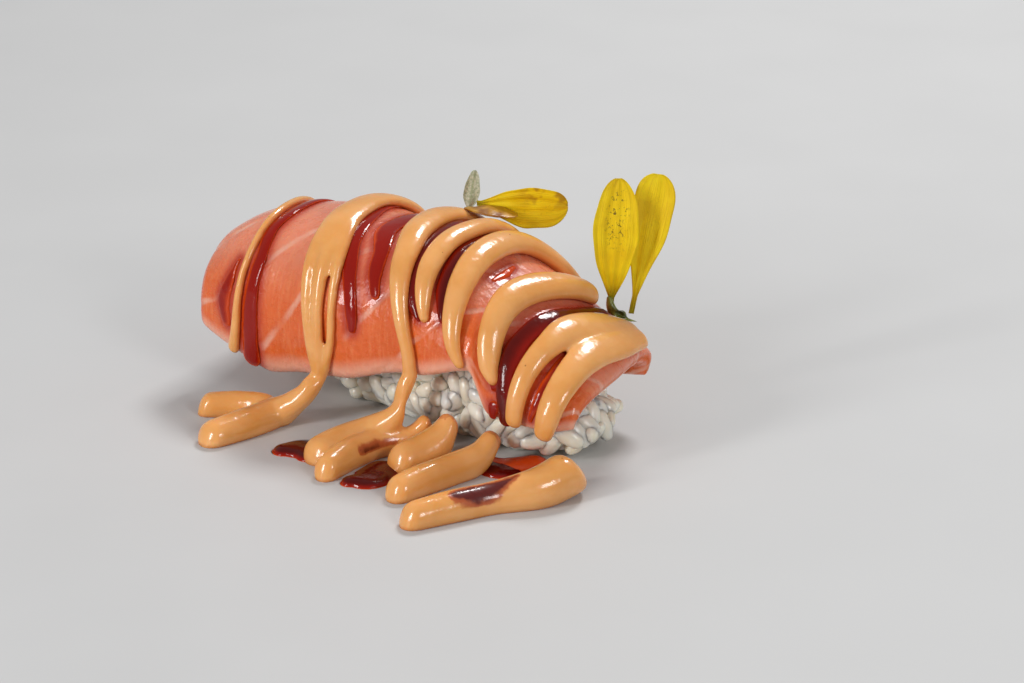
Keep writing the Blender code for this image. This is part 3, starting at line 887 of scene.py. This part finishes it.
def dark_material():
    made, tree, place = new_material("dark_sauce")
    _, depth = attribute(tree, "depth")
    cloudy = place.noise(300, 2.0)
    shade = depth + cloudy * 0.16 - 0.08
    colour = blend(shade.fade(0.04, 0.22), (0.58, 0.055, 0.004), (0.27, 0.006, 0.0008))
    colour = blend(shade.fade(0.3, 0.75), colour, (0.085, 0.002, 0.0006))
    roughness = 0.09 + cloudy * 0.06
    constants = {"Specular IOR Level": 0.5, "IOR": 1.36}
    finish_material(tree, colour, roughness, constants, [(place.noise(800, 2.0), 0.00008)])
    return made


def puddle(points, widths, depth):
    """A flat bead on the table."""
    rows = [(x, y, 0.0, 0, 0, 1, width / 2, depth) for (x, y), width in zip(points, widths)]
    return with_drops(smooth_path(rows, STRAND_STEP))


FILM_SINK = 0.5
EDGE_WANDER = 0.14  # how much a film's width comes and goes
films = []
for number, (path, widths, rise) in enumerate(STRIPES.values()):
    film = on_slice(path, widths, rise, FILM_SINK)
    film[:, 6] *= 1 + EDGE_WANDER * ripples(film[:, 0], film[:, 2] * 2.0, 20 + number)
    films.append(with_drops(film))
films += [
    puddle(((-9.6, -29.2), (-7.6, -27.4), (-5.0, -26.6)), (4.4, 7.6, 8.6), 1.15),
    puddle(((6.8, -33.0), (8.6, -30.6), (8.0, -25.4)), (3.4, 7.0, 6.4), 1.15),
    puddle(((19.6, -15.0), (23.6, -14.6), (27.0, -10.2)), (5.4, 7.6, 7.2), 1.3),
]
dark_sauce = beads("dark_sauce", films, 0.2, 4, dark_material(), floor=0.0)
deepest = store_depth(dark_sauce)
place_piece(dark_sauce, "dark_sauce")
print("dark sauce:", len(dark_sauce.data.polygons), "faces, up to", round(deepest, 1), "mm deep")

# %% [markdown]
# ## The look of the creamy sauce
# It is an opaque, peach-coloured emulsion with a skin-like gloss. Light goes in a little, which
# softens its shadows and turns them orange. Where it is thin over the slice, the salmon or the dark
# sauce shows through. On the table, its runs are darker and more orange low down, as painted shade.
# It carries a few brown specks of spice.

# %% Cream material


def cream_material():
    made, tree, place = new_material("creamy_sauce")
    _, depth = attribute(tree, "depth")
    _, tint = attribute(tree, "tint")
    _, spill = attribute(tree, "spill")
    cloudy = place.noise(160, 3.0, 0.55)
    colour = blend(cloudy.fade(0.3, 0.7), (0.77, 0.34, 0.085), (0.83, 0.405, 0.13))
    # Darker and more orange within 0.75 mm of what it lies on: over the slice, the salmon showing through
    # thin sauce; on the table, painted shade along the lower flanks of the runs.
    colour = blend(depth.fade(0.75, 0.15) * 0.7, colour, (0.66, 0.2, 0.05))
    colour = blend(tint * 0.55, colour, (0.6, 0.14, 0.02))
    edge = spill + place.noise(700, 2.0) * 0.5 - 0.25
    colour = blend(edge.fade(0.2, 0.5) * 0.85, colour, (0.42, 0.06, 0.015))
    colour = blend(edge.fade(0.5, 0.85), colour, (0.11, 0.006, 0.003))
    specks = place.spots(430, 0.085, 0.09)
    blot = place.spots(130, 0.1, 0.05)
    colour = blend(specks.math("MAXIMUM", specks, blot) * 0.75, colour, (0.28, 0.075, 0.012))
    roughness = 0.17 + cloudy * 0.1
    constants = {
        "Subsurface Weight": 0.4,
        "Subsurface Radius": (1.0, 0.45, 0.2),
        "Subsurface Scale": 0.0016,
        "Specular IOR Level": 0.5,
        "Coat Weight": 0.35,
        "Coat Roughness": 0.05,
    }
    finish_material(tree, colour, roughness, constants, [(place.noise(500, 2.0), 0.00012)])
    return made


CREAM = cream_material()
print("material:", CREAM.name)

# %% [markdown]
# ## The ribbons of creamy sauce
# Seven ribbons cross the slice. The second and third run off its near edge in a thin stream, spread
# over the table and part into two fingers. The second is really three strands side by side, with
# narrow slits between them, and the last is two that merge on top.

# %% Ribbons
RIBBONS = {
    "cream_band_1": [
        on_slice(
            ((-34.5, 0.5), (-32.5, 0.2), (-30.4, -0.1), (-29.4, -0.36), (-29.8, -0.62), (-30.4, -0.8),
             (-31.6, -0.95)),
            (1.6, 2.0, 1.8, 1.5, 1.5, 1.9, 2.4),
            1.05,
        ),
    ],
    "cream_band_2": [
        on_slice(
            ((-14.0, 0.6), (-14.8, 0.34), (-16.2, 0.12), (-15.5, -0.12), (-14.3, -0.32)),
            (3.8, 4.9, 5.6, 6.4, 6.2),
            1.8,
        ),
        on_slice(
            ((-16.6, -0.08), (-15.9, -0.3), (-15.0, -0.48), (-14.1, -0.64), (-13.1, -0.8), (-12.2, -0.95)),
            (3.6, 3.4, 2.7, 2.3, 2.5, 2.6),
            1.75,
        ),
        on_slice(
            ((-14.8, -0.08), (-13.3, -0.32), (-12.4, -0.5), (-11.9, -0.66), (-11.8, -0.82), (-12.0, -0.95)),
            (3.8, 3.4, 2.4, 2.0, 2.3, 2.8),
            1.7,
        ),
        on_slice(
            ((-14.4, -0.04), (-12.4, -0.22), (-10.7, -0.36), (-9.7, -0.5), (-9.2, -0.66), (-9.4, -0.8),
             (-11.0, -0.94)),
            (2.0, 2.4, 2.3, 1.8, 1.6, 1.6, 1.8),
            1.3,
        ),
    ],
    "cream_band_4": [
        on_slice(
            ((7.2, 0.44), (6.2, 0.26), (5.5, 0.06), (5.2, -0.12), (5.7, -0.31), (6.5, -0.44), (7.5, -0.55),
             (8.4, -0.64)),
            (2.8, 3.3, 3.9, 4.1, 4.0, 3.4, 2.7, 1.8),
            2.25,
        ),
    ],
    "cream_band_5": [
        on_slice(
            ((16.6, 0.66), (13.8, 0.45), (11.4, 0.25), (10.6, 0.06), (11.0, -0.18), (12.0, -0.38),
             (13.0, -0.54), (14.0, -0.69), (15.0, -0.81), (16.4, -0.93)),
            (4.0, 5.0, 5.4, 5.4, 5.1, 4.6, 4.0, 3.4, 2.7, 1.8),
            2.75,
        ),
    ],
    "cream_band_6": [
        on_slice(
            ((23.6, 0.3), (21.6, 0.14), (19.9, -0.04), (19.1, -0.24), (19.2, -0.42), (19.8, -0.56),
             (20.8, -0.66), (22.2, -0.74)),
            (4.4, 5.5, 5.9, 5.7, 5.0, 4.4, 3.6, 2.2),
            2.85,
        ),
    ],
    "cream_band_7": [
        on_slice(
            ((32.2, 0.36), (30.4, 0.12), (28.5, -0.18), (28.0, -0.42), (27.6, -0.6), (27.3, -0.78),
             (27.0, -0.94)),
            (5.8, 6.8, 6.0, 4.4, 3.8, 3.4, 3.0),
            2.6,
        ),
        on_slice(
            ((33.4, 0.36), (33.4, 0.1), (33.0, -0.16), (33.2, -0.42), (33.5, -0.66), (33.3, -0.84),
             (32.5, -0.97)),
            (5.4, 6.4, 6.4, 5.4, 4.8, 4.3, 3.4),
            2.6,
        ),
    ],
}
BAND_3_OVER = on_slice(
    ((1.0, 0.6), (-1.2, 0.36), (-2.4, 0.12), (-1.4, -0.1), (0.5, -0.28), (1.7, -0.41), (3.2, -0.55),
     (4.8, -0.7), (6.2, -0.84), (6.6, -0.97)),
    (4.0, 5.0, 5.5, 5.2, 4.6, 4.0, 3.3, 2.7, 2.5, 2.7),
    2.45,
)
BAND_3_DOWN = on_table(
    ((5.6, -17.9, 9.6), (4.6, -18.2, 5.6), (0.4, -20.4, 2.7), (-1.8, -25.0, 2.3), (-2.6, -28.6, 2.0)),
    (3.2, 4.4, 6.4, 6.5, 6.2),
)
BAND_2_DOWN = on_table(
    ((-13.6, -18.6, 5.6), (-16.2, -19.6, 3.2), (-18.6, -21.4, 2.1), (-19.6, -27.0, 2.1), (-21.2, -33.0, 1.9)),
    (4.0, 5.1, 6.0, 6.1, 5.8),
)
FINGERS = {
    "cream_band_2": (
        ((-18.2, -20.6, 2.0), (-21.4, -20.0, 2.1), (-26.0, -21.4, 2.0), (-29.6, -24.0, 1.9)),
        (3.4, 4.6, 4.6, 4.4),
    ),
    "cream_band_3": (
        ((8.4, -15.6, 4.4), (6.4, -17.6, 2.6), (3.0, -21.8, 2.2), (2.2, -28.0, 2.2), (2.5, -33.2, 1.9)),
        (3.2, 3.6, 4.8, 5.0, 4.4),
    ),
    "cream_trail_1": (
        ((13.2, -15.6, 5.2), (12.6, -17.2, 3.2), (11.4, -20.4, 2.5), (10.4, -23.8, 2.2)),
        (4.2, 6.0, 6.2, 5.6),
    ),
    "cream_trail_2": (
        ((21.4, -15.2, 4.6), (20.9, -18.0, 3.0), (19.2, -23.0, 2.3), (17.8, -28.6, 2.2), (16.9, -33.0, 2.0)),
        (3.6, 4.6, 4.8, 5.2, 5.0),
    ),
    "cream_trail_3": (
        ((37.4, -17.0, 3.6), (35.4, -22.0, 3.0), (31.0, -28.0, 2.3), (27.6, -34.0, 2.2), (24.8, -39.7, 2.0)),
        (7.2, 6.8, 5.2, 5.5, 5.1),
    ),
}
STRANDS = {name: [with_drops(rows) for rows in lines] for name, lines in RIBBONS.items()}
STRANDS["cream_band_2"].append(strand(RIBBONS["cream_band_2"][2][-4:], BAND_2_DOWN))
STRANDS["cream_band_3"] = [strand(BAND_3_OVER, BAND_3_DOWN)]
for name, (points, widths) in FINGERS.items():
    STRANDS.setdefault(name, []).append(strand(on_table(points, widths)))
print("strands of creamy sauce:", sum(len(strands) for strands in STRANDS.values()))

# %% [markdown]
# ## Stains in the creamy sauce
# Dark sauce ran over two of the runs on the table and left soft-edged spots, and it tints the flanks
# of the ribbons that it touches. Neither is a shape of its own, so both are kept as values on the
# ribbons' points: how far inside a spill a point is, and how near to the dark sauce.

# %% Ribbons and their stains
SPILLS = (
    (((6.6, -21.0), (5.9, -23.0), (5.1, -25.0), (4.4, -27.0)), (0.7, 1.1, 0.8, 0.3)),
    (((28.6, -34.4), (30.2, -31.6), (32.0, -28.4), (33.4, -25.0)), (0.9, 1.5, 1.1, 0.5)),
)
SPILL_SOFTNESS = 0.8
SPILL_FLOOR = 1.6  # a spill colours only what is higher than this
TINT_REACH = 1.2
dark_tree = BVHTree.FromObject(dark_sauce, bpy.context.evaluated_depsgraph_get())


def store_stains(piece):
    spots = mesh_points(piece)
    above = np.clip((spots[:, 2] - SPILL_FLOOR) / SPILL_SOFTNESS, 0, 1)
    spill = np.zeros(len(spots))
    for path, halves in SPILLS:
        rows = smooth_path([(x, y, 0, half) for (x, y), half in zip(path, halves)], 0.4)
        gap = np.hypot(spots[:, None, 0] - rows[None, :, 0], spots[:, None, 1] - rows[None, :, 1])
        inside = (SPILL_SOFTNESS - gap + rows[None, :, 3]).max(axis=1) / (2 * SPILL_SOFTNESS)
        spill = np.maximum(spill, np.clip(inside, 0, 1) * above)
    tint = []
    for spot in spots:
        found = dark_tree.find_nearest(Vector(spot) * MM, TINT_REACH * MM)
        tint.append(0.0 if found[0] is None else 1 - found[3] / (TINT_REACH * MM))
    store_values(piece, "spill", spill)
    store_values(piece, "tint", tint)


for name in sorted(STRANDS):
    piece = beads(name.replace("cream", "sauce"), STRANDS[name], 0.28, 7, CREAM, floor=0.0)
    deepest = store_depth(piece)
    store_stains(piece)
    place_piece(piece, "cream_sauce", name)
    print(piece.name, len(piece.data.polygons), "faces, up to", round(deepest, 1), "mm deep")

# %% [markdown]
# ## The rice
# Pressed rice is hundreds of grains, each about 5 mm long, standing out where the slice doesn't
# press on them. A bump map can't give their outline, so real grains are spread over the rice's
# solid by Geometry Nodes, in two layers, over a smaller core. Four slightly different grains
# are enough, because each is turned and scaled at random.

# %% Grain shapes
GRAIN_LENGTH = 5.3
GRAIN_WIDTH = 3.2


def make_grain(name, seed):
    """A plump grain: an oval body with a shallow groove, a slight bend, and one end more pointed."""
    random = np.random.default_rng(seed)
    rings, sides = 9, 10
    bend, taper = random.uniform(-0.12, 0.12), random.uniform(0.0, 0.2)
    flat = random.uniform(0.78, 0.95)
    points = [(-GRAIN_LENGTH / 2, 0, 0)]
    for angle in np.linspace(0, math.pi, rings + 2)[1:-1]:
        at = -math.cos(angle)
        radius = GRAIN_WIDTH / 2 * math.sin(angle) ** 0.72 * (1 - taper * at)
        for turn in np.linspace(0, 2 * math.pi, sides, endpoint=False):
            groove = 1 - 0.04 * math.exp(-((turn - math.pi / 2) ** 2) / 0.15)
            y = radius * groove * math.cos(turn) + bend * at**2 * 2
            z = radius * groove * math.sin(turn) * flat
            points.append((GRAIN_LENGTH / 2 * at, y, z))
    points.append((GRAIN_LENGTH / 2, bend * 2, 0))
    faces = []
    for k in range(sides):
        after = (k + 1) % sides
        faces.append((0, 1 + after, 1 + k))
        last = 1 + (rings - 1) * sides
        faces.append((last + k, last + after, len(points) - 1))
        for ring in range(rings - 1):
            low = 1 + ring * sides
            faces.append((low + k, low + after, low + sides + after, low + sides + k))
    grain = new_object(name, points, faces)
    if not points_outwards(grain.data):
        grain.data.flip_normals()
    return grain


grain_set = bpy.data.collections.new("grains")
for number in range(4):
    grain = make_grain(f"grain_{number}", number)
    bpy.context.scene.collection.objects.unlink(grain)
    grain_set.objects.link(grain)

# %% Rice material and grain tree


def rice_material():
    made, tree, place = new_material("cooked_rice")
    _, tone = attribute(tree, "tone")
    cloudy = place.noise(420, 2.0)
    colour = blend(tone, (0.88, 0.78, 0.6), (0.97, 0.89, 0.73))
    colour = blend(cloudy.fade(0.45, 0.75) * 0.5, colour, (0.98, 0.94, 0.83))
    constants = {
        "Subsurface Weight": 0.8,
        "Subsurface Radius": (1.0, 0.85, 0.7),
        "Subsurface Scale": 0.0018,
        "Specular IOR Level": 0.6,
        "Coat Weight": 0.3,
        "Coat Roughness": 0.12,
    }
    finish_material(tree, colour, 0.24 + cloudy * 0.15, constants, [(place.noise(1500, 2.0), 0.00008)])
    return made


def grain_tree():
    """Spreads grains over a surface, lying along it in any direction."""
    inputs = [
        ("Grains", "NodeSocketCollection", None),
        ("Spacing", "NodeSocketFloat", 0.002),
        ("Seed", "NodeSocketInt", 3),
        ("Material", "NodeSocketMaterial", None),
    ]
    tree, start, end = new_tree("grains_on_surface", inputs)
    inputs = {
        "Mesh": start.outputs["Geometry"],
        "Distance Min": start.outputs["Spacing"],
        "Density Max": 600000.0,
        "Seed": start.outputs["Seed"],
    }
    settings = {"distribute_method": "POISSON"}
    spread = node(tree, "GeometryNodeDistributePointsOnFaces", settings, inputs)
    settings = {"data_type": "FLOAT_VECTOR"}
    inputs = {0: (-0.55, -0.55, 0.0), 1: (0.55, 0.55, 6.283), "Seed": 7}
    turn = node(tree, "FunctionNodeRandomValue", settings, inputs)
    inputs = {0: (0.85, 0.85, 0.85), 1: (1.1, 1.08, 1.08), "Seed": 8}
    size = node(tree, "FunctionNodeRandomValue", settings, inputs)
    euler = node(tree, "FunctionNodeEulerToRotation", {}, {0: turn.outputs[0]})
    inputs = {"Rotation": spread.outputs["Rotation"], "Rotate By": euler.outputs[0]}
    lying = node(tree, "FunctionNodeRotateRotation", {"rotation_space": "LOCAL"}, inputs)
    inputs = {"Collection": start.outputs["Grains"], "Separate Children": True, "Reset Children": True}
    shapes = node(tree, "GeometryNodeCollectionInfo", {}, inputs)
    inputs = {
        "Points": spread.outputs["Points"],
        "Instance": shapes.outputs[0],
        "Pick Instance": True,
        "Rotation": lying.outputs[0],
        "Scale": size.outputs[0],
    }
    placed = node(tree, "GeometryNodeInstanceOnPoints", {}, inputs)
    tone = node(tree, "FunctionNodeRandomValue", {"data_type": "FLOAT"}, {"Seed": 9})
    inputs = {"Geometry": placed.outputs[0], "Name": "tone", "Value": tone.outputs[1]}
    settings = {"data_type": "FLOAT", "domain": "INSTANCE"}
    toned = node(tree, "GeometryNodeStoreNamedAttribute", settings, inputs)
    whole = node(tree, "GeometryNodeRealizeInstances", {}, {"Geometry": toned.outputs[0]})
    inputs = {"Geometry": whole.outputs[0], "Material": start.outputs["Material"]}
    painted = node(tree, "GeometryNodeSetMaterial", {}, inputs)
    tree.links.new(painted.outputs[0], end.inputs[0])
    return tree


RICE = rice_material()
GRAINS = grain_tree()
print("material:", RICE.name, "and tree:", GRAINS.name)

# %% [markdown]
# ## Grains over a core
# The core is the rice's solid, merged and drawn in under its surface. The grains of a layer lie on a
# copy that is drawn in a little less, so that they reach the solid's outline and no further. Nothing
# reaches below the table: grains that would are flattened onto it, as pressed rice is.

# %% Rice


def drawn_in(name, depth):
    """The rice's solid with its doubles merged, drawn in by a depth in millimetres."""
    work = bmesh.new()
    work.from_mesh(frame["nodes"]["rice_bed"].data)
    bmesh.ops.remove_doubles(work, verts=work.verts, dist=0.00001)
    work.normal_update()
    for vertex in work.verts:
        vertex.co -= vertex.normal * depth * MM
    mesh = bpy.data.meshes.new(name)
    work.to_mesh(mesh)
    work.free()
    mesh.shade_smooth()
    made = bpy.data.objects.new(name, mesh)
    bpy.context.scene.collection.objects.link(made)
    return made


def grain_layer(name, depth, spacing, seed):
    layer = drawn_in(name, depth)
    add_tree(layer, GRAINS, Grains=grain_set, Spacing=spacing * MM, Seed=seed, Material=RICE)
    settle(layer)
    spots = mesh_points(layer)
    spots[:, 2] = np.maximum(spots[:, 2], 0.0)
    move_points(layer, spots)
    layer.data.shade_smooth()
    place_piece(layer, "rice", "rice_bed")
    print(name, len(layer.data.polygons), "faces")


OUTER_DEPTH, INNER_DEPTH, CORE_DEPTH = 1.15, 2.4, 2.9
grain_layer("rice_grains", OUTER_DEPTH, 1.95, 3)
grain_layer("rice_grains_inner", INNER_DEPTH, 3.0, 4)
core = drawn_in("rice_core", CORE_DEPTH)
core.data.materials.clear()
core.data.materials.append(RICE)
place_piece(core, "rice", "rice_bed")
for grain in list(grain_set.objects):
    bpy.data.objects.remove(grain)
bpy.data.collections.remove(grain_set)

# %% [markdown]
# ## Petals and leaf
# Each petal is a thin sheet, round at the tip and narrow at its foot, with ribs along it and a curl
# across it. A grid that follows the outline's formula gives that, where a flat cut-out would look
# like paper. The leaf is a smaller one with one groove down its middle.

# %% Petal shapes
PETAL_FACING = TURN  # the petals face the camera
PETALS = {
    "petal_1": {
        "base": (25.2, 13.2, 19.8),
        "lean": (0.05, 1.0, 0.02),
        "size": (21.6, 7.4),
        "widest": 0.58,
        "cup": 0.9,
        "ribs": 3,
        "tip": 2.2,
    },
    "petal_2": {
        "base": (27.3, 15.9, 17.4),
        "lean": (0.18, 1.0, 0.06),
        "size": (24.6, 6.8),
        "widest": 0.7,
        "cup": 0.5,
        "ribs": 2,
        "tip": 4.0,
    },
    "petal_3": {
        "base": (-1.2, 11.6, 32.4),
        "lean": (1.0, 0.0, -0.12),
        "size": (15.6, 7.0),
        "widest": 0.6,
        "cup": 0.9,
        "ribs": 3,
        "tip": 3.0,
    },
    "leaf": {
        "base": (-2.8, 12.2, 31.0),
        "lean": (0.16, 1.0, 0.06),
        "size": (6.8, 2.7),
        "widest": 0.45,
        "cup": 0.3,
        "ribs": 1,
        "tip": 1.5,
    },
}


def make_petal(name, base, lean, size, widest, cup, ribs, tip):
    """A ribbed blade. lean is its direction: to the right, up and away, as the camera sees it."""
    length, width = size
    to_right = Vector((math.cos(PETAL_FACING), math.sin(PETAL_FACING), 0))
    away = Vector((-math.sin(PETAL_FACING), math.cos(PETAL_FACING), 0))
    along = (to_right * lean[0] + Vector((0, 0, 1)) * lean[1] + away * lean[2]).normalized()
    side = along.cross(away).normalized()
    facing = side.cross(along).normalized()
    rows, columns = 64, 29
    run = np.sin(np.linspace(0, math.pi / 2, rows)) ** 1.3
    share, over = np.meshgrid(0.02 + 0.975 * run, np.linspace(-1, 1, columns), indexing="ij")
    rising = np.sin(math.pi * share ** (math.log(0.5) / math.log(widest))) ** 0.8
    past = np.clip((share - widest) / (1 - widest), 0, 1)
    outline = 0.5 * np.maximum(0.13, np.where(share < widest, rising, np.sqrt(1 - past**tip)))
    wavy = 1 + 0.025 * np.sin(19 * share + 2 * np.sign(over)) * np.abs(over)
    bend = cup * (over**2 * outline * 2 - 0.9 * (2 * share - 1) ** 2)
    bend += 0.13 * np.cos(over * math.pi * (ribs + 0.5)) * np.sin(math.pi * share) ** 0.5
    bend += 0.1 * np.sin(7 * share + 3 * over)
    flat = np.array(base) + share[..., None] * length * np.array(along)
    flat = flat + (over * wavy * width * outline)[..., None] * np.array(side)
    thin = 0.14 - 0.05 * np.abs(over) ** 3
    front = flat - (bend + thin)[..., None] * np.array(facing)
    behind = flat - (bend - thin)[..., None] * np.array(facing)
    blade = np.stack([over, share, 0 * over], axis=-1).reshape(-1, 3)
    points = np.vstack([behind.reshape(-1, 3), front.reshape(-1, 3)])
    values = {"blade": np.vstack([blade, blade])}
    piece = new_object(name + "_blade", points, shell_faces(rows, columns), values)
    if not points_outwards(piece.data):
        piece.data.flip_normals()
    return piece


def petal_material(name, freckles, smudge):
    """Yellow with darker veins and a green foot. freckles and smudge are strengths from 0 to 1."""
    made, tree, place = new_material(name)
    blade, _ = attribute(tree, "blade")
    over, share = blade.part(0), blade.part(1)
    cloudy = place.noise(220, 3.0)
    veins = blade.scaled(9, 1.2, 1).noise(2.2, 2.0)
    colour = blend(cloudy.fade(0.3, 0.7), (0.78, 0.52, 0.002), (0.9, 0.66, 0.006))
    colour = blend(veins.fade(0.5, 0.75) * 0.35, colour, (0.5, 0.33, 0.004))
    colour = blend(share.fade(0.2, 0.02) * 0.8, colour, (0.36, 0.3, 0.01))
    ragged = place.noise(1500, 3.0, 0.7)
    spread = share.fade(0.35, 0.62) * share.fade(0.97, 0.8) * abs(over + 0.05).fade(0.7, 0.15)
    marks = ragged.fade(0.54, 0.64) * spread
    colour = blend(marks * freckles, colour, (0.09, 0.05, 0.008))
    stain = place.noise(380, 2.0).fade(0.45, 0.6) * share.fade(0.4, 0.7) * over.fade(-0.5, 0.6)
    colour = blend(stain * smudge, colour, (0.42, 0.22, 0.012))
    constants = {
        "Subsurface Weight": 0.2,
        "Subsurface Radius": (0.6, 0.5, 0.05),
        "Subsurface Scale": 0.0008,
        "Specular IOR Level": 0.25,
    }
    finish_material(tree, colour, 0.42 + cloudy * 0.15, constants, [(veins, 0.00018)])
    return made


def leaf_material():
    made, tree, place = new_material("downy_leaf")
    blade, _ = attribute(tree, "blade")
    down = place.noise(2600, 3.0, 0.7)
    colour = blend(down.fade(0.3, 0.7), (0.3, 0.34, 0.2), (0.62, 0.6, 0.46))
    # Painted shade: darker green down the middle, in the groove.
    colour = blend(abs(blade.part(0)).fade(0.25, 0.0) * 0.5, colour, (0.2, 0.26, 0.1))
    finish_material(tree, colour, 0.6 + down * 0.2, {"Sheen Weight": 0.4}, [(down, 0.0002)])
    return made


FINISHES = {
    "petal_1": petal_material("petal_freckled", 1.0, 0.1),
    "petal_2": petal_material("petal_plain", 0.12, 0.2),
    "petal_3": petal_material("petal_smudged", 0.15, 0.8),
    "leaf": leaf_material(),
}
for name, shape in PETALS.items():
    piece = make_petal(name, **shape)
    piece.data.materials.append(FINISHES[name])
    place_piece(piece, "leaf" if name == "leaf" else "petal", name)
    print(piece.name, len(piece.data.polygons), "faces, outwards:", points_outwards(piece.data))

# %% [markdown]
# ## The wet husk
# A thin brown husk from the flower clings to the ribbons and holds the lying petal. It is a small
# sheet that bends from the top of a ribbon up to the petal, so a grid between three curves will do.

# %% Husk


def husk_material():
    made, tree, place = new_material("wet_husk")
    cloudy = place.noise(500, 3.0)
    colour = blend(cloudy.fade(0.3, 0.7), (0.24, 0.07, 0.004), (0.52, 0.25, 0.01))
    constants = {"Coat Weight": 0.15, "Coat Roughness": 0.05}
    finish_material(tree, colour, 0.25 + cloudy * 0.2, constants, [(cloudy, 0.0002)])
    return made


HUSK_EDGES = (
    ((-2.4, 12.0, 31.6), (1.6, 13.4, 32.2), (6.4, 15.2, 31.4)),
    ((-1.8, 9.4, 32.6), (2.6, 10.6, 33.0), (7.4, 12.0, 32.0)),
    ((-1.0, 7.0, 32.8), (3.4, 8.2, 32.4), (7.8, 9.4, 32.0)),
)
HUSK_THICKNESS = 0.2


def make_husk():
    """A sheet between a far edge under the petal, a bent middle, and a near edge on the ribbons."""
    edges = [smooth_path(edge, 0.4) for edge in HUSK_EDGES]
    count = min(len(edge) for edge in edges)
    far, middle, near = (
        edge[np.round(np.linspace(0, len(edge) - 1, count)).astype(int)] for edge in edges
    )
    share = np.linspace(0, 1, 15)[:, None, None]
    sheet = (1 - share) ** 2 * far + 2 * share * (1 - share) * middle + share**2 * near
    centre = sheet.mean(axis=0, keepdims=True)
    pointed = np.sin(np.linspace(0, math.pi, count)) ** 0.5
    sheet = centre + (sheet - centre) * pointed[None, :, None]
    sheet[..., 2] += 0.12 * ripples(sheet[..., 0] * 2.5, sheet[..., 1] * 2.5, 8)
    half = (0, 0, HUSK_THICKNESS / 2)
    points = np.vstack([sheet.reshape(-1, 3) + half, sheet.reshape(-1, 3) - half])
    piece = new_object("wet_husk", points, shell_faces(15, count))
    if not points_outwards(piece.data):
        piece.data.flip_normals()
    return piece


husk = make_husk()
husk.data.materials.append(husk_material())
place_piece(husk, "petal")
print("husk:", len(husk.data.polygons), "faces")

# %% [markdown]
# ## The flower's foot
# The two upright petals hang together at a small green foot, wet with dark sauce. It is a short
# tapered bead, made like the sauce. A row holds a point, its up, half a width and half a height.

# %% Foot


def foot_material():
    made, tree, place = new_material("green_foot")
    cloudy = place.noise(600, 3.0)
    colour = blend(cloudy.fade(0.35, 0.65), (0.05, 0.06, 0.008), (0.2, 0.22, 0.025))
    finish_material(tree, colour, 0.3 + cloudy * 0.2, {"Coat Weight": 0.3}, [(cloudy, 0.0002)])
    return made


FOOT = [
    (25.0, 13.1, 20.9, -0.5, -0.7, 0.5, 0.6, 0.6),
    (25.5, 13.1, 19.3, -0.5, -0.7, 0.5, 1.1, 1.0),
    (26.6, 13.6, 17.9, -0.5, -0.7, 0.5, 1.4, 1.2),
    (27.6, 15.0, 17.3, -0.5, -0.7, 0.5, 1.0, 0.9),
]
foot = beads("flower_foot", [strand(np.array(FOOT))], 0.2, 3, foot_material())
place_piece(foot, "leaf")
print("foot:", len(foot.data.polygons), "faces")

# %% [markdown]
# ## Table and light
# The table is plain and pale. One wide soft lamp stands above and behind, and draws the bright lines
# along the ridges of the ribbons. A tall one in front lights the near wall, a small one shapes the
# sloping end, and the sky fills the rest, at a level at which colours look as they are written.

# %% Table and lamps


def table_material():
    made, tree, place = new_material("pale_table")
    cloudy = place.noise(30, 2.0)
    colour = blend(cloudy, (0.55, 0.55, 0.55), (0.58, 0.58, 0.58))
    finish_material(tree, colour, 0.5 + cloudy * 0.1, {"Specular IOR Level": 0.3})
    return made


def lamp(name, place, size, power):
    """A soft lamp that points at the nigiri."""
    light = bpy.data.lights.new(name, "AREA")
    light.shape = "RECTANGLE"
    light.size, light.size_y = size
    light.energy = power
    made = bpy.data.objects.new(name, light)
    made.location = place
    made.rotation_euler = (Vector(place) - Vector(LAMP_AIM)).to_track_quat("Z", "Y").to_euler()
    bpy.context.scene.collection.objects.link(made)


TABLE_HALF = 3000.0
LAMP_AIM = (0, -0.005, 0.015)
corners = [(x * TABLE_HALF, y * TABLE_HALF, 0) for x, y in ((-1, -1), (1, -1), (1, 1), (-1, 1))]
table = new_object("table", corners, [(0, 1, 2, 3)])
table.data.materials.append(table_material())
lamp("back_lamp", (-0.05, 0.42, 0.55), (0.2, 0.12), 2.9)
lamp("front_lamp", (-0.2, -0.6, 0.26), (0.1, 0.34), 2.5)
lamp("side_lamp", (0.6, -0.2, 0.35), (0.18, 0.18), 1.2)
sky = bpy.data.worlds.new("sky")
sky.use_nodes = True
glow = sky.node_tree.nodes["Background"]
glow.inputs["Color"].default_value = (1.0, 1.0, 1.0, 1)
glow.inputs["Strength"].default_value = 0.32
bpy.context.scene.world = sky
bpy.context.scene.view_settings.view_transform = "Standard"
print("lamps:", len(bpy.data.lights))
